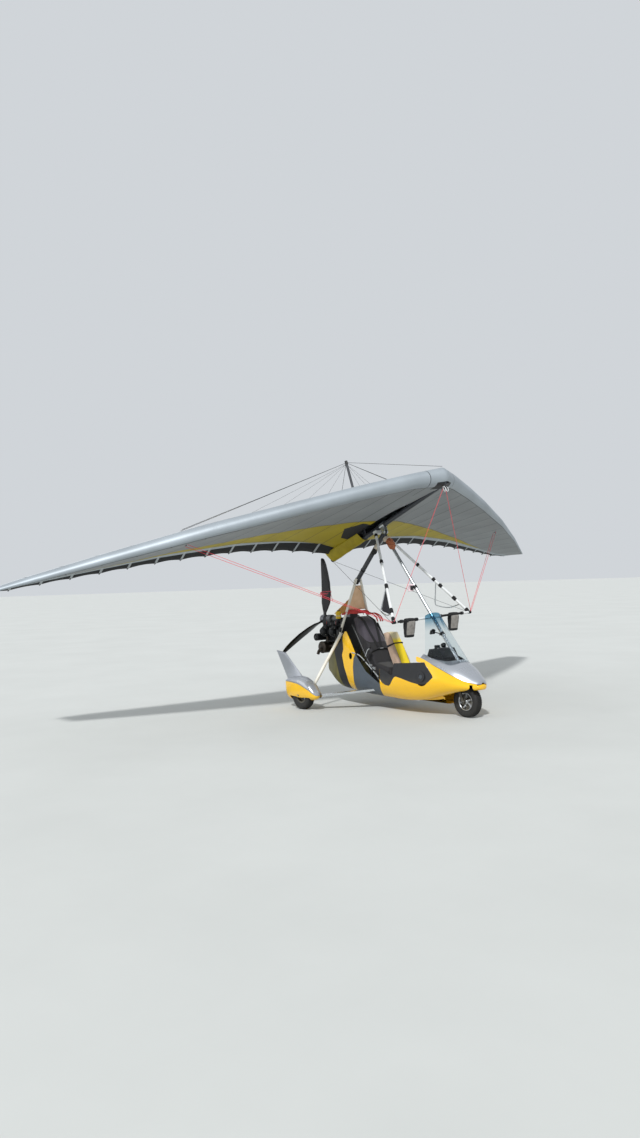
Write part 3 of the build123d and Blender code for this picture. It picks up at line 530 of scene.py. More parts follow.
# The nose lip: the pod's front edge, rolled into a round yellow bead that carries the deck
lip_rings = []
for t in (-0.95, *spaced(0, 1, 9)):
    k = sqrt(1 - 0.985 * t * t) if t > 0 else 1.0
    lip_rings.append([at(n + 212 + 36 * t, -82 * k * copysign(abs(cos(a)) ** 0.8, cos(a)),
                         371 + 34 * (0.35 + 0.65 * k) * copysign(abs(sin(a)) ** 0.8, sin(a)))
                      for a in turns(32)])
lip = skin("nose_lip", lip_rings, yellow_coat, 0, closed=True)
outward(lip.data, fill=True)
fit(lip, "trike", "yellow_shell")

# The nose deck: a domed silver skin between the pod's creases, open at the rear for the screen
deck_table = (
    (n - 458, 292, 688, 800),
    (n - 218, 262, 589, 716),
    (n + 12, 210, 485, 607),
    (n + 132, 150, 433, 521),
    (n + 222, 76, 405, 448),
)


def deck_crown(row, y):
    """The deck's height at a distance out, on the arc over its two creases."""
    _, half, crease, crown = row
    rise = crown - crease
    big = (half * half + rise * rise) / (2 * rise)
    return crown - big + sqrt(max(big * big - y * y, 0))


def deck_ring(row):
    """One station of the deck from crease to crease."""
    return [at(row[0], row[1] * t, deck_crown(row, row[1] * t)) for t in spaced(-1, 1, 29)]


deck_rings = [deck_ring(ease_table(deck_table, x)) for x in spaced(n - 458, n + 222, 48)]
for back, share in ((6, 0.9), (10, 0.72), (13, 0.4)):
    deck_rings.append(deck_ring((n + 222 + back, 76 * share, 404, 404 + 42 * share)))
deck = skin("nose_deck_skin", deck_rings, silver_coat, shell_wall)
bay = [(n - 518, -240), (n - 318, -226), (n - 138, -150), (n - 78, 0), (n - 138, 150),
       (n - 318, 226), (n - 518, 240)]
trim(deck, rounded(bay), 500, 900, plan_view=True)
fit(deck, "trike", "silver_shell", "nose_deck")

# The rear cowls: yellow side cowls with an oval hand hole, slate side panels, and a tail piece that
# is olive behind, painted shade on the cowl's yellow, and black in front, parted by a straight
# line.
def over_finish(material):
    """A finish's tree and shader, its colour so far, and the object's X, Y and Z."""
    tree = material.node_tree
    shader = tree.nodes["Principled BSDF"]
    place = put(tree, "ShaderNodeTexCoord").outputs["Object"]
    axes = put(tree, "ShaderNodeSeparateXYZ", {"Vector": place}).outputs
    return tree, shader, shader.inputs["Base Color"].links[0].from_socket, axes


# the olive is the cowl's yellow darkened with painted shade
tail_coat_painted_shade = finish_of("olive_painted_shade_polyester", "#716a2c", "#655f28", 0.5, patch=160, grain=2.0,
                      bump=0.15, dust=0.2)
tree, shader, base, axes = over_finish(tail_coat_painted_shade)
lean = put(tree, "ShaderNodeMath", {0: axes["Z"], 1: 0.364, 2: axes["X"]}, operation="MULTIPLY_ADD")
feed(shader, {"Base Color": paint(tree, base, ("#17181a", 1.0, (lean, axle_x + 0.174, 99)))})
tail_line = [(-345, 300), (-345, 560), (-250, 650), (-130, 700), (-40, 750), (60, 820), (138, 850),
             (148, 739), (116, 654), (154, 499), (212, 378), (258, 150), (-200, 150)]
cowl_line = [(150, 920), (196, 972), (226, 972), (325, 820), (404, 690), (362, 626), (344, 511),
             (351, 368), (349, 150), (259, 150), (213, 378), (155, 499), (117, 654), (149, 739),
             (139, 850)]
panel_line = [(350, 150), (352, 368), (345, 511), (363, 626), (405, 690), (440, 640), (600, 470),
              (859, 330), (859, 150)]
rear_rings = [hull_ring(ease_table(rear_table, x)) for x in spaced(-339, 860, 60)]
for name, line, coat, slot_name, node in (
    ("tail_cowl_skin", tail_line, tail_coat_painted_shade, "dark_shell", "cowl_tail"),
    ("side_cowl_skin", cowl_line, yellow_coat, "yellow_shell", "cowl_side"),
    ("side_panel_skin", panel_line, slate_coat, "silver_shell", "side_panels"),
):
    cowl = skin(name, rear_rings, coat, shell_wall)
    trim(cowl, line, -400, 400, "INTERSECT")
    if node == "cowl_side":
        trim(cowl, [(298 + 34 * cos(a), 652 + 44 * sin(a)) for a in turns(32)], -400, 400)
    fit(cowl, "trike", slot_name, node)

# The spats: a yellow bowl below and a silver cap above with a swept fin, round each main wheel.
# Columns: x, lower edge, joint, upper edge, half width
spat_table = (
    (-323, 246, 262, 276, 5),
    (-318, 215, 262, 300, 30),
    (-300, 140, 346, 357, 55),
    (-260, 122, 348, 384, 72),
    (-150, 111, 347, 412, 86),
    (-13, 101, 333, 421, 89),
    (60, 108, 316, 410, 89),
    (150, 124, 284, 372, 86),
    (206, 134, 262, 333, 80),
    (270, 146, 216, 254, 58),
    (300, 176, 192, 206, 26),
    (306, 187, 192, 197, 4),
)
spat_out = 867
for side, name in ((1, "left"), (-1, "right")):
    middle = side * spat_out
    bowl_rings, cap_rings = [], []
    for x in [-322.5, -321, *spaced(-318, 300, 52), 303, 305.5]:
        low, joint, high, half = [
            float(np.interp(x, [r[0] for r in spat_table], [r[c] for r in spat_table]))
            for c in range(1, 5)]
        bowl_rings.append([at(x, middle + half * cos(a) * (1 - 0.06 * sin(a)),
                              joint - (joint - low) * abs(sin(a)) ** 0.62)
                           for a in spaced(0, pi, 25)])
        cap_rings.append([at(x, middle - half * cos(a),
                             joint + 0.3 + (high - joint) * sin(a) ** 0.8)
                          for a in spaced(0, pi, 25)])
    bowl = skin("spat_bowl_" + name, bowl_rings, yellow_coat, shell_wall)
    trim(bowl, [(-206, middle - 71), (206, middle - 71), (206, middle + 71), (-206, middle + 71)],
         -10, 165, plan_view=True)
    cap = skin("spat_cap_" + name, cap_rings, silver_coat, shell_wall)
    fin_rings = []
    for t in spaced(0, 1, 14):
        front = np.array((30 - 384 * t, 395 + 317 * t))
        back = np.array((-300 - 261 * t, 330 + 406 * t))
        wide = 9 + 26 * (1 - t) ** 5
        ring = []
        for a in turns(28):
            u = 0.5 - 0.5 * cos(a)
            x, z = front + (back - front) * u
            ring.append(at(x, middle - wide * sin(a) * (1 - 0.25 * u), z))
        fin_rings.append(ring)
    fin = skin("spat_fin_" + name, fin_rings, silver_coat, 0, closed=True)
    outward(fin.data, fill=True)
    fit(bowl, "trike", "yellow_shell", "spat_bowls")
    fit(cap, "trike", "silver_shell", "spat_caps")
    fit(fin, "trike", "silver_shell")

# The wheels: 4.00-6 tyres, moulded rubber on cast alloy hubs. The tread is rows of blocks moulded
# with the tyre; the nose hub is a bare five-spoke casting, the main hubs are black.
tyre_rubber = finish_of("moulded_tyre_rubber", "#151617", "#1d1d1d", 0.74, patch=60, grain=1.2,
                        bump=0.5, dust=0.04)
hub_silver = finish_of("machined_cast_aluminium", "#c4c6c8", "#a6a8aa", 0.3, metallic=0.95,
                       patch=30, grain=0.8, bump=0.25)
hub_black = finish_of("black_powder_coated_casting", "#202123", "#2a2b2d", 0.5, metallic=0.2,
                      patch=40, dust=0.5)
bolt_steel = finish_of("zinc_plated_steel", "#b5b2a6", "#8e8d88", 0.35, metallic=0.9, patch=8)


def turned(profile, centre, axis, sides=48):
    """Points and faces of a form turned on an axis; the profile is (radius, along) in mm."""
    axis = Vector(axis).normalized()
    across = axis.orthogonal().normalized()
    third = axis.cross(across)
    points = []
    for k in range(sides):
        a = 2 * pi * k / sides
        out = cos(a) * across + sin(a) * third
        points += [centre + (r * out + along * axis) / 1000 for r, along in profile]
    m = len(profile)
    return points, [(p, q, q + 1, p + 1) for k in range(sides) for i in range(m - 1)
                    for p, q in ((k * m + i, (k + 1) % sides * m + i),)]


def tube(path, radius, sides=10, caps=True):
    """Points and faces of a round tube through points in metres; one radius in mm, or a list."""
    path = [Vector(p) for p in path]
    radii = radius if isinstance(radius, (list, tuple)) else [radius] * len(path)
    rings, before = [], None
    for k, spot in enumerate(path):
        way = (path[min(k + 1, len(path) - 1)] - path[max(k - 1, 0)]).normalized()
        if before is None:
            side_way = way.orthogonal().normalized()
        else:
            side_way = (before - before.dot(way) * way).normalized()
        before = side_way
        other = way.cross(side_way)
        rings.append([spot + radii[k] / 1000 * (cos(a) * side_way + sin(a) * other)
                      for a in (2 * pi * i / sides for i in range(sides))])
    points, faces = capped(rings)
    return points, faces if caps else faces[:-2]


def curve_through(points, steps=8):
    """A smooth line through a few points, as many points."""
    data = [Vector(p) for p in points]
    data = [2 * data[0] - data[1]] + data + [2 * data[-1] - data[-2]]
    line = []
    for k in range(1, len(data) - 2):
        for i in range(steps):
            t = i / steps
            a, b, c, d = data[k - 1:k + 3]
            line.append(0.5 * (2 * b + (c - a) * t + (2 * a - 5 * b + 4 * c - d) * t * t
                               + (3 * b - a - 3 * c + d) * t**3))
    return line + [data[-2]]


def block(centre, size, turn_by=None):
    """Points and faces of a small block with chamfered edges; size in millimetres."""
    made = bmesh.new()
    bmesh.ops.create_cube(made, size=1.0)
    for corner in made.verts:
        corner.co = Vector([c * s / 1000 for c, s in zip(corner.co, size)])
    chamfer = 0.12 * min(size) / 1000
    bmesh.ops.bevel(made, geom=made.edges[:], offset=chamfer, segments=2, affect="EDGES")
    for corner in made.verts:
        corner.co = (turn_by @ corner.co if turn_by else corner.co) + Vector(centre)
    points = [v.co.copy() for v in made.verts]
    faces = [tuple(v.index for v in f.verts) for f in made.faces]
    made.free()
    return points, faces


def build(name, parts, body, slot_name, *nodes, sharp=32.0):
    """One mesh from several (points, faces, material) parts; it rides on the body."""
    points, faces, materials, which = [], [], [], []
    for more_points, more_faces, material in parts:
        if material not in materials:
            materials.append(material)
        shift = len(points)
        points += [tuple(p) for p in more_points]
        faces += [tuple(i + shift for i in f) for f in more_faces]
        which += [materials.index(material)] * len(more_faces)
    made = link_mesh(name, points, faces, materials, which, sharp)
    outward(made.data)
    made.data.shade_smooth()
    made.data.set_sharp_from_angle(angle=radians(sharp))
    return fit(made, body, slot_name, *nodes)


def made_of(material, *forms):
    """Parts for build: each form's points and faces with their material."""
    return [(*form, material) for form in forms]


def repeat_block(name, spots, size, material, body, slot_name, round_sides=0):
    """Small like pieces set by a node tree: each spot is (place, up, along); sizes in mm."""
    mesh = bpy.data.meshes.new(name)
    mesh.from_pydata([tuple(s[0]) for s in spots], [], [])
    for key, index in (("up", 1), ("along", 2)):
        held = mesh.attributes.new(key, "FLOAT_VECTOR", "POINT")
        held.data.foreach_set("vector", [c for s in spots for c in s[index]])
    made = link_object(name, mesh)
    tree = bpy.data.node_groups.new(name + "_layout", "GeometryNodeTree")
    _, sized, _ = [
        tree.interface.new_socket(name=label, in_out=way, socket_type="NodeSocket" + kind)
        for label, way, kind in (("Geometry", "INPUT", "Geometry"),
                                 ("Piece size", "INPUT", "Vector"),
                                 ("Geometry", "OUTPUT", "Geometry"))]
    entry = put(tree, "NodeGroupInput").outputs
    if round_sides:
        whole = put(tree, "ShaderNodeSeparateXYZ", {"Vector": entry["Piece size"]}).outputs
        seed = put(tree, "GeometryNodeMeshCylinder",
                   {"Vertices": round_sides, "Radius": whole["X"], "Depth": whole["Z"]})
    else:
        seed = put(tree, "GeometryNodeMeshCube", {"Size": entry["Piece size"]})
    up, along = [put(tree, "GeometryNodeInputNamedAttribute", {"Name": key},
                     data_type="FLOAT_VECTOR") for key in ("up", "along")]
    first = put(tree, "FunctionNodeAlignRotationToVector", {"Vector": up}, axis="Z")
    second = put(tree, "FunctionNodeAlignRotationToVector", {"Rotation": first, "Vector": along},
                 axis="X", pivot_axis="Z")
    laid = put(tree, "GeometryNodeInstanceOnPoints",
               {"Points": entry["Geometry"], "Instance": seed.outputs["Mesh"], "Rotation": second})
    real = put(tree, "GeometryNodeRealizeInstances", {"Geometry": laid})
    inked = put(tree, "GeometryNodeSetMaterial", {"Material": material, "Geometry": real})
    put(tree, "NodeGroupOutput", {"Geometry": inked})
    step = made.modifiers.new("layout", "NODES")
    step.node_group = tree
    step[sized.identifier] = [c / 1000 for c in size]
    freeze(made)
    if round_sides:
        made.data.set_sharp_from_angle(angle=radians(40))
    else:
        made.data.shade_flat()
    return fit(made, body, slot_name)


half_tyre = [(104, 40), (107, 46), (116, 50), (128, 53.5), (145, 55.5), (158, 54), (168, 49.5),
             (174, 44), (178, 38), (180.2, 30), (180.6, 19), (177.6, 18), (177.6, 15), (181, 14),
             (181.3, 3), (178, 2), (178, 0)]
tyre_profile = half_tyre + [(r, -w) for r, w in half_tyre[-2::-1]]
barrel = [(103.5, -41), (98, -41), (92, -36), (90, -12), (90, 12), (92, 36), (98, 41), (103.5, 41)]
half_cone = [(0.5, 44), (13, 44), (15, 41), (24, 30), (31, 24), (34, 6)]
axle_way, hub_height, tread_blocks = (0, 1, 0), 186, 44
# Rows of tread blocks: radius, distance out, lean of the block, shift by a share of its pitch
tread_rows = ((180.5, 36, 0.55, 0.0), (180.5, -36, -0.55, 0.5), (182.0, 23, 0.1, 0.5),
              (182.0, -23, -0.1, 0.0), (182.6, 8, 0.0, 0.0), (182.6, -8, 0.0, 0.5))
for side_y, x, name in ((0, wheelbase, "nose"), (spat_out, 0, "left"), (-spat_out, 0, "right")):
    body = name + "_wheel"
    hub_place = at(x, side_y, hub_height)
    tyre = turned(tyre_profile, hub_place, axle_way, 72)
    build(name + "_tyre_rubber", made_of(tyre_rubber, tyre), body, "tyres", name + "_tyre",
          sharp=50)
    spots = []
    for ring, (radius, out, lean, offset) in enumerate(tread_rows):
        for k in range(tread_blocks):
            a = 2 * pi * (k + offset) / tread_blocks
            away = Vector((cos(a), lean, sin(a))).normalized()
            spot = hub_place + Vector((radius * cos(a), out, radius * sin(a))) / 1000
            spots.append((spot, away, Vector((-sin(a), 0.25 * (-1) ** ring, cos(a)))))
    repeat_block(name + "_tread_blocks", spots, (17, 12.5, 6.0), tyre_rubber, body, "tyres")
    if name != "nose":
        continue
    parts = made_of(hub_silver, turned(barrel, hub_place, axle_way, 64))
    parts += made_of(hub_black, turned([(91, -3), (14, -3)], hub_place, axle_way),
                     turned([(91, 3), (14, 3)], hub_place, axle_way))
    for face in (-1, 1):
        cone = [(r, w * face) for r, w in half_cone]
        parts += made_of(hub_silver, turned(cone, hub_place, axle_way, 40))
        for k in range(5):
            a = 2 * pi * k / 5 + 0.3
            along, cross = Vector((cos(a), 0, sin(a))), Vector((-sin(a), 0, cos(a)))
            spoke = []
            for t in spaced(0, 1, 8):
                wide = 15 - 15 * t + 16 * t * t
                height = (26 - 12 * sin(pi * t)) * face
                spoke += [hub_place + ((24 + 70 * t) * along + (c * wide + 9 * sin(pi * t)) * cross
                                       + Vector((0, h, 0))) / 1000
                          for c, h in ((-1, 3 * face), (-0.75, height * 0.85), (-0.35, height),
                                       (0.35, height), (0.75, height * 0.85), (1, 3 * face))]
            parts.append((spoke, grid(8, 6), hub_silver))
    build("nose_hub_casting", parts, body, "nose_alloy", "nose_rim")
    spots = [(hub_place + Vector((30 * cos(a), 27 * f, 30 * sin(a))) / 1000, (0, f, 0), (1, 0, 0))
             for a in turns(6) for f in (-1, 1)]
    repeat_block("nose_hub_bolts", spots, (4.5, 4.5, 7), bolt_steel, body, "steel_pins",
                 round_sides=6)

# The frame's tubes and forgings. They are drawn aluminium tube, anodised or left bare, and welded
# steel painted black; each keeps its own solid and gets its metal's finish. The keel tube is given
# the dark slate finish as painted shade, for the shade it lies in above the undersurface.
anodised_tube = finish_of("clear_anodised_tube", "#c9cdd0", "#b4b8bb", 0.27, metallic=0.85,
                          patch=90, spread=0.07)
white_tube = finish_of("white_painted_tube", "#e4e6e6", "#d6d8d8", 0.32, patch=120, dust=0.2)
cream_tube = finish_of("cream_painted_tube", "#e2dfd4", "#d2cdc0", 0.4, patch=120, dust=0.2)
slate_tube_and_keel_shade = finish_of("slate_fairing_plastic_and_keel_shade", "#33363b", "#3e4147", 0.42, patch=120)
black_paint = finish_of("black_powder_coated_steel", "#17181a", "#202123", 0.42, metallic=0.1,
                        patch=60, grain=1.5, bump=0.15, dust=0.5)
foam_black = finish_of("black_foam_grip", "#141415", "#1c1c1d", 0.9, patch=20, grain=1.0, bump=0.6)
steel = finish_of("stainless_steel", "#a9abad", "#8f9193", 0.3, metallic=1.0, patch=12)


def dress(material, *names):
    """Gives CAD nodes their material; their meshes stay as they are."""
    for name in names:
        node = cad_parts[name]
        if not node.data.materials:
            node.data.materials.append(material)
        for one in node.material_slots:
            one.material = material


dress(anodised_tube, "front_strut", "hang_block", "gear_legs", "keel_beam")
dress(white_tube, "uprights")
dress(cream_tube, "mast_legs", "gear_struts")
# the keel tube's dark slate is painted shade; the mast and kingpost are slate
dress(slate_tube_and_keel_shade, "mast", "kingpost", "keel_tube")
dress(black_paint, "fork", "steering_head", "engine_mount", "seat_frame")
dress(steel, "axles", "nose_axle")
dress(hub_black, "left_rim", "right_rim")
dress(black_moulding, "cockpit_tub", "dashboard")
dress(foam_black, "base_bar")

# The propeller: three ground-adjustable blades of carbon cloth in black resin, swept like a
# scimitar, clamped in a split aluminium hub by six bolts, with a pink ribbon round the upper blade.
carbon = finish_of("black_carbon_composite", "#0e0f10", "#18191b", 0.22, patch=60, grain=2.5,
                   bump=0.12, spread=0.06, extra={"Coat Weight": 0.4})
hub_grey = finish_of("machined_hub_aluminium", "#7b7d80", "#626468", 0.35, metallic=0.9, patch=20)
ribbon_pink = finish_of("pink_nylon_ribbon", "#ff6a78", "#e8505f", 0.6, patch=20, grain=1.0,
                        bump=0.3)
hub_at = at(-577, 0, 1110)
# Blade sections: distance out, chord, thickness, blade angle, sweep back at mid chord
blade_table = (
    (60, 44, 44, 62, 0), (90, 46, 42, 60, 0), (140, 78, 34, 52, 6), (230, 124, 26, 42, 14),
    (360, 132, 22, 35, 16), (520, 124, 17, 28, 6), (660, 106, 13, 23, -12), (780, 82, 9, 19, -32),
    (845, 56, 6, 17, -47), (862, 28, 3, 16, -55),
)
first_blade = -3.4
parts = []
for blade in range(3):
    spin = Matrix.Rotation(radians(first_blade + 120 * blade), 3, "X")
    rings = []
    for out, chord, thick, angle, sweep in blade_table:
        turn_x, turn_y = sin(radians(angle)), cos(radians(angle))
        ring = []
        for a in turns(24):
            u = 0.5 * chord * cos(a) + sweep
            v = 0.5 * thick * sin(a) * (0.75 + 0.25 * cos(a))
            place = Vector((u * turn_x - v * turn_y, u * turn_y + v * turn_x, out))
            ring.append(hub_at + spin @ place / 1000)
        rings.append(ring)
    parts += made_of(carbon, capped(rings))
build("propeller_blades", parts, "propeller", "blade_composite", "prop_blades", sharp=60)
hub_profile = [(0.5, -40), (22, -40), (24, -37), (58, -36), (62, -32), (62, -2), (60, 0), (62, 2),
               (62, 32), (58, 36)]
build("propeller_hub_shell", made_of(hub_grey, turned(hub_profile, hub_at, (1, 0, 0))), "propeller",
      "hub_alloy")
dress(hub_grey, "prop_hub")
spots = [(hub_at + Vector((-38, 42 * cos(a), 42 * sin(a))) / 1000, (-1, 0, 0), (0, 1, 0))
         for a in turns(6)]
repeat_block("propeller_hub_bolts", spots, (5.5, 5.5, 8), bolt_steel, "propeller", "steel_pins",
             round_sides=6)
parts = []
spin = Matrix.Rotation(radians(first_blade), 3, "X")
lean_x, lean_y = sin(radians(35)), cos(radians(35))
for k in range(3):
    lap = [hub_at + spin @ Vector((72 * cos(a) * lean_x - 14 * sin(a) * lean_y,
                                   72 * cos(a) * lean_y + 14 * sin(a) * lean_x + 16,
                                   352 + 17 * k + 9 * sin(a + k))) / 1000
           for a in spaced(0, 2 * pi, 25)]
    parts += made_of(ribbon_pink, tube(lap, 5.5, sides=6))
for dx, dy, dz in ((-40, 90, -40), (30, 105, -75), (60, -95, -30)):
    start = hub_at + Vector((0, 60 if dy > 0 else -50, 365)) / 1000
    tail = [start + Vector(p) / 1000 for p in (
        (0, 0, 0), (dx * 0.3, dy * 0.3, 12), (dx * 0.7, dy * 0.55, dz * 0.6),
        (dx, dy * 0.7, dz * 1.6))]
    parts += made_of(ribbon_pink, tube(curve_through(tail), 3.5, sides=5))
build("warning_ribbon", parts, "propeller", "hood_cloth")

# The windscreen: blown clear polycarbonate, tinted blue at the top and lightly scuffed
clear_sheet, tree, shader = blank("clear_polycarbonate")
place = put(tree, "ShaderNodeTexCoord").outputs["Object"]
rise = put(tree, "ShaderNodeSeparateXYZ", {"Vector": place}).outputs["Z"]
climb = put(tree, "ShaderNodeMapRange", {"From Min": 0.98, "From Max": 1.19, "Value": rise},
            interpolation_type="SMOOTHSTEP")
tint = put(tree, "ShaderNodeMix", {0: climb, 6: "#f1f6f8", 7: "#6c9fb9"}, data_type="RGBA")
scuff = put(tree, "ShaderNodeTexNoise", {"Scale": 30.0, "Detail": 6.0, "Vector": place})
haze = put(tree, "ShaderNodeMapRange", {"To Min": 0.02, "To Max": 0.1, "Value": scuff})
feed(shader, {"Transmission Weight": 1.0, "IOR": 1.12, "Base Color": tint, "Roughness": haze})
dress(clear_sheet, "windscreen")

# The seats: foam in sewn covers on the tube frame. The rear one is wide and black, the front one is
# narrow, beige, with a yellow centre panel and a black strap round it.
def remade(name, node, voxel, flatten=0.0):
    """A new piece from a node's solid, welded and remeshed evenly; flatten joins level faces."""
    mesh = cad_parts[node].data.copy()
    form = bmesh.new()
    form.from_mesh(mesh)
    bmesh.ops.remove_doubles(form, verts=form.verts, dist=0.0002)
    if flatten:
        bmesh.ops.dissolve_limit(form, angle_limit=flatten, verts=form.verts, edges=form.edges)
    form.to_mesh(mesh)
    form.free()
    mesh.materials.clear()
    return reshape(link_object(name, mesh), "REMESH", mode="VOXEL", voxel_size=voxel)


def read_points(mesh, key="co"):
    """A mesh's points, or their normals, as rows of three."""
    values = np.empty(len(mesh.vertices) * 3, np.float32)
    mesh.vertices.foreach_get(key, values)
    return values.reshape(-1, 3)


swell_cap = 0.02


def cushion(name, node, material, slot_name, shoulder):
    """A stuffed form from the node's solid: its shoulders are drawn in and it is swollen as cloth,
    no point further than the cap in metres."""
    made = remade(name, node, 0.009, flatten=0.02)
    reshape(made, "DISPLACE", strength=-0.006, mid_level=0.0)
    top = max(v.co.z for v in made.data.vertices)
    for v in made.data.vertices:
        near_top = max(0.0, 1 - (top - v.co.z) / 0.34)
        v.co.y *= 1 - shoulder * near_top**1.6
    before = read_points(made.data)
    swell = made.modifiers.new("swell", "CLOTH")
    swell.settings.use_pressure = True
    swell.settings.uniform_pressure_force = 4.0
    swell.settings.effector_weights.gravity = 0
    swell.settings.quality = 5
    for frame_number in range(1, 21):
        bpy.context.scene.frame_set(frame_number)
    freeze(made)
    bpy.context.scene.frame_set(1)
    move = read_points(made.data) - before
    length = np.linalg.norm(move, axis=1, keepdims=True)
    move *= np.minimum(1.0, swell_cap / np.maximum(length, 1e-9))
    made.data.vertices.foreach_set("co", (before + move).astype(np.float32).ravel())
    reshape(made, "SMOOTH", iterations=12, factor=0.5)
    made.data.materials.append(material)
    made.data.shade_smooth()
    fit(made, "trike", slot_name, node)
    return made


black_cordura = finish_of("black_woven_nylon_cover", "#121114", "#1c1a1f", 0.78, patch=70,
                          grain=1.6, bump=0.8, extra={"Sheen Weight": 0.25})
tree, shader, base, axes = over_finish(black_cordura)
rise = put(tree, "ShaderNodeMath", {0: axes["X"], 1: 0.62, 2: axes["Z"]}, operation="MULTIPLY_ADD")
# a greyer upper panel, painted light on the top of the seat back, and the piping along its lower
# edge
feed(shader, {"Base Color": paint(tree, base, ("#3b363f", 1.0, (rise, 0.77, 9)),
                                  ("#0a0a0b", 1.0, (rise, 0.764, 0.776)))})
rear_seat = cushion("rear_seat_cover", "seat_rear", black_cordura, "seat_cloth", shoulder=0.42)

beige_cover = finish_of("beige_woven_polyester_cover", "#b59c88", "#a58c79", 0.82, patch=60,
                        grain=1.6, bump=0.7, extra={"Sheen Weight": 0.2})
tree, shader, base, axes = over_finish(beige_cover)
out_y = put(tree, "ShaderNodeMath", {0: axes["Y"]}, operation="ABSOLUTE")
faded = put(tree, "ShaderNodeMapRange", {"From Min": 0.855, "From Max": 0.9, "Value": axes["Z"]})
panel = put(tree, "ShaderNodeMix", {0: faded, 6: "#f0d312", 7: "#d2c39a"}, data_type="RGBA")
feed(shader, {"Base Color": paint(tree, base, (panel, 1.0, (out_y, -1, 0.073)),
                                  ("#6d6152", 1.0, (out_y, 0.0708, 0.0752)))})
front_seat = cushion("front_seat_cover", "seat_front", beige_cover, "front_seat_cloth",
                     shoulder=0.3)

webbing = finish_of("black_polyester_webbing", "#101012", "#1b1b1e", 0.7, patch=12, grain=1.5,
                    bump=0.8)


def strap(path, wide, thick, across):
    """Points and faces of a flat band along a line of points; sizes in millimetres."""
    across = Vector(across).normalized()
    rings = []
    for k, spot in enumerate(path):
        way = (path[min(k + 1, len(path) - 1)] - path[max(k - 1, 0)]).normalized()
        flat_way = (across - across.dot(way) * way).normalized()
        up = way.cross(flat_way)
        rings.append([spot + (a * wide / 2 * flat_way + b * thick / 2 * up) / 1000
                      for a, b in ((-1, -1), (1, -1), (1, 1), (-1, 1))])
    return capped(rings)


def lay_on(path, piece, gap=0.003):
    """A strap's line drawn in onto the surface of the cushion that it lies on."""
    surface = BVHTree.FromPolygons([v.co for v in piece.data.vertices],
                                   [tuple(p.vertices) for p in piece.data.polygons])
    nearest = [surface.find_nearest(spot) for spot in path]
    return [near + normal * gap for near, normal, _, _ in nearest]


# The strap across the front seat's back, and the two lap and shoulder harnesses with steel buckles
half_loop = [(848, -134, 803), (884, -112, 817), (892, -58, 822), (894, 0, 823)]
rear_half = [(806, 134, 788), (772, 98, 778), (768, 0, 777)]
loop = half_loop + [(x, -y, z) for x, y, z in half_loop[-2::-1]]
loop += rear_half + [(x, -y, z) for x, y, z in rear_half[-2::-1]] + half_loop[:1]
loop_line = lay_on(curve_through([at(*p) for p in loop]), front_seat)
parts = made_of(webbing, strap(loop_line, 25, 2.5, (0.35, 0, 0.94)))
lap, down = (0.8, 0.1, 0.5), (0.0, 1.0, 0.0)
for side in (-1, 1):
    for seat, across, spots in (
        (front_seat, lap, ((985, 150, 430), (1010, 130, 520), (1060, 80, 590), (1085, 24, 600))),
        (rear_seat, lap, ((560, 215, 600), (560, 190, 690), (560, 110, 720), (545, 24, 730))),
        (rear_seat, down, ((255, 105, 1215), (330, 100, 1190), (395, 92, 1070), (470, 60, 900),
                           (540, 26, 760))),
    ):
        line = lay_on(curve_through([at(x, side * y, z) for x, y, z in spots]), seat)
        parts += made_of(webbing, strap(line, 42, 2.2, across))
for seat, spot in ((front_seat, at(1090, 0, 600)), (rear_seat, at(545, 0, 740))):
    parts += made_of(steel, block(lay_on([spot], seat, 0.006)[0], (52, 62, 12)))
build("harness_straps", parts, "trike", "seat_cloth")

# The mitts: padded cold-weather hand covers of grey and black nylon that hang from the base bar
grey_nylon = finish_of("grey_quilted_nylon", "#96918b", "#7d7974", 0.8, patch=35, grain=2.0,
                       bump=0.8)
black_nylon = finish_of("black_quilted_nylon", "#0d0d0f", "#19191b", 0.82, patch=30, grain=2.0,
                        bump=0.8)
bar_x, bar_z = 351.0, -1388
around, levels = 32, 15
for side, name in ((1, "left"), (-1, "right")):
    bar_at = on_wing(bar_x, side * 400, bar_z)
    rings = []
    for t in spaced(0, 1, levels):
        deep = 30 + 9 * sin(pi * min(1, t * 1.6)) - 6 * t
        wide = 74 + 14 * sin(pi * (0.15 + 0.75 * t)) - 8 * t
        if t < 0.2:
            deep *= 0.55 + 2.2 * t
        ring = []
        for a in turns(around):
            fold = 1 + 0.03 * sin(9 * a + 11 * t) + 0.03 * sin(5 * a - 17 * t)
            ring.append(bar_at + Vector((
                deep * fold * copysign(abs(cos(a)) ** 0.55, cos(a)) - 20 - 14 * t,
                wide * fold * copysign(abs(sin(a)) ** 0.6, sin(a)), 26 - 236 * t)) / 1000)
        rings.append(ring)
    points, faces = capped(rings)
    # grey on the front only: material 0; the back, the top, the foot and both ends are black
    which = [0 if (i < 4 or i >= around - 4) and 0 < k < 12 else 1
             for k in range(levels - 1) for i in range(around)] + [1, 1]
    mitt = link_mesh("bar_mitt_" + name, points, faces, [grey_nylon, black_nylon], which, sharp=60)
    outward(mitt.data)
    reshape(mitt, "SUBSURF", levels=1, render_levels=1)
    mitt.data.shade_smooth()
    fit(mitt, "wing", "seat_cloth", "bar_mitts")

# The control frame's fittings: white sleeves and black foam on the base bar, black clamps and bands
# on the white uprights, bent silver training bars, and a black mesh bag on the starboard one.
parts = []
for start, end in ((-285, 125), (556, 700), (-700, -640)):
    line = [on_wing(bar_x, y, bar_z) for y in (start, end)]
    parts += made_of(white_tube, tube(line, 16, sides=20))
for y in (-300, 140, 540, -560, -470):
    line = [on_wing(bar_x, y - 16, bar_z), on_wing(bar_x, y + 16, bar_z)]
    parts += made_of(black_paint, tube(line, 21, sides=16))
build("base_bar_sleeves", parts, "wing", "bar_cover")


def up_the_tube(t, side):
    """A place on the upright, from 0 at its top to 1 at the base bar."""
    return on_wing(-48 + (bar_x + 48) * t, side * (62 + 624 * t), -52.3 - 1335.7 * t)


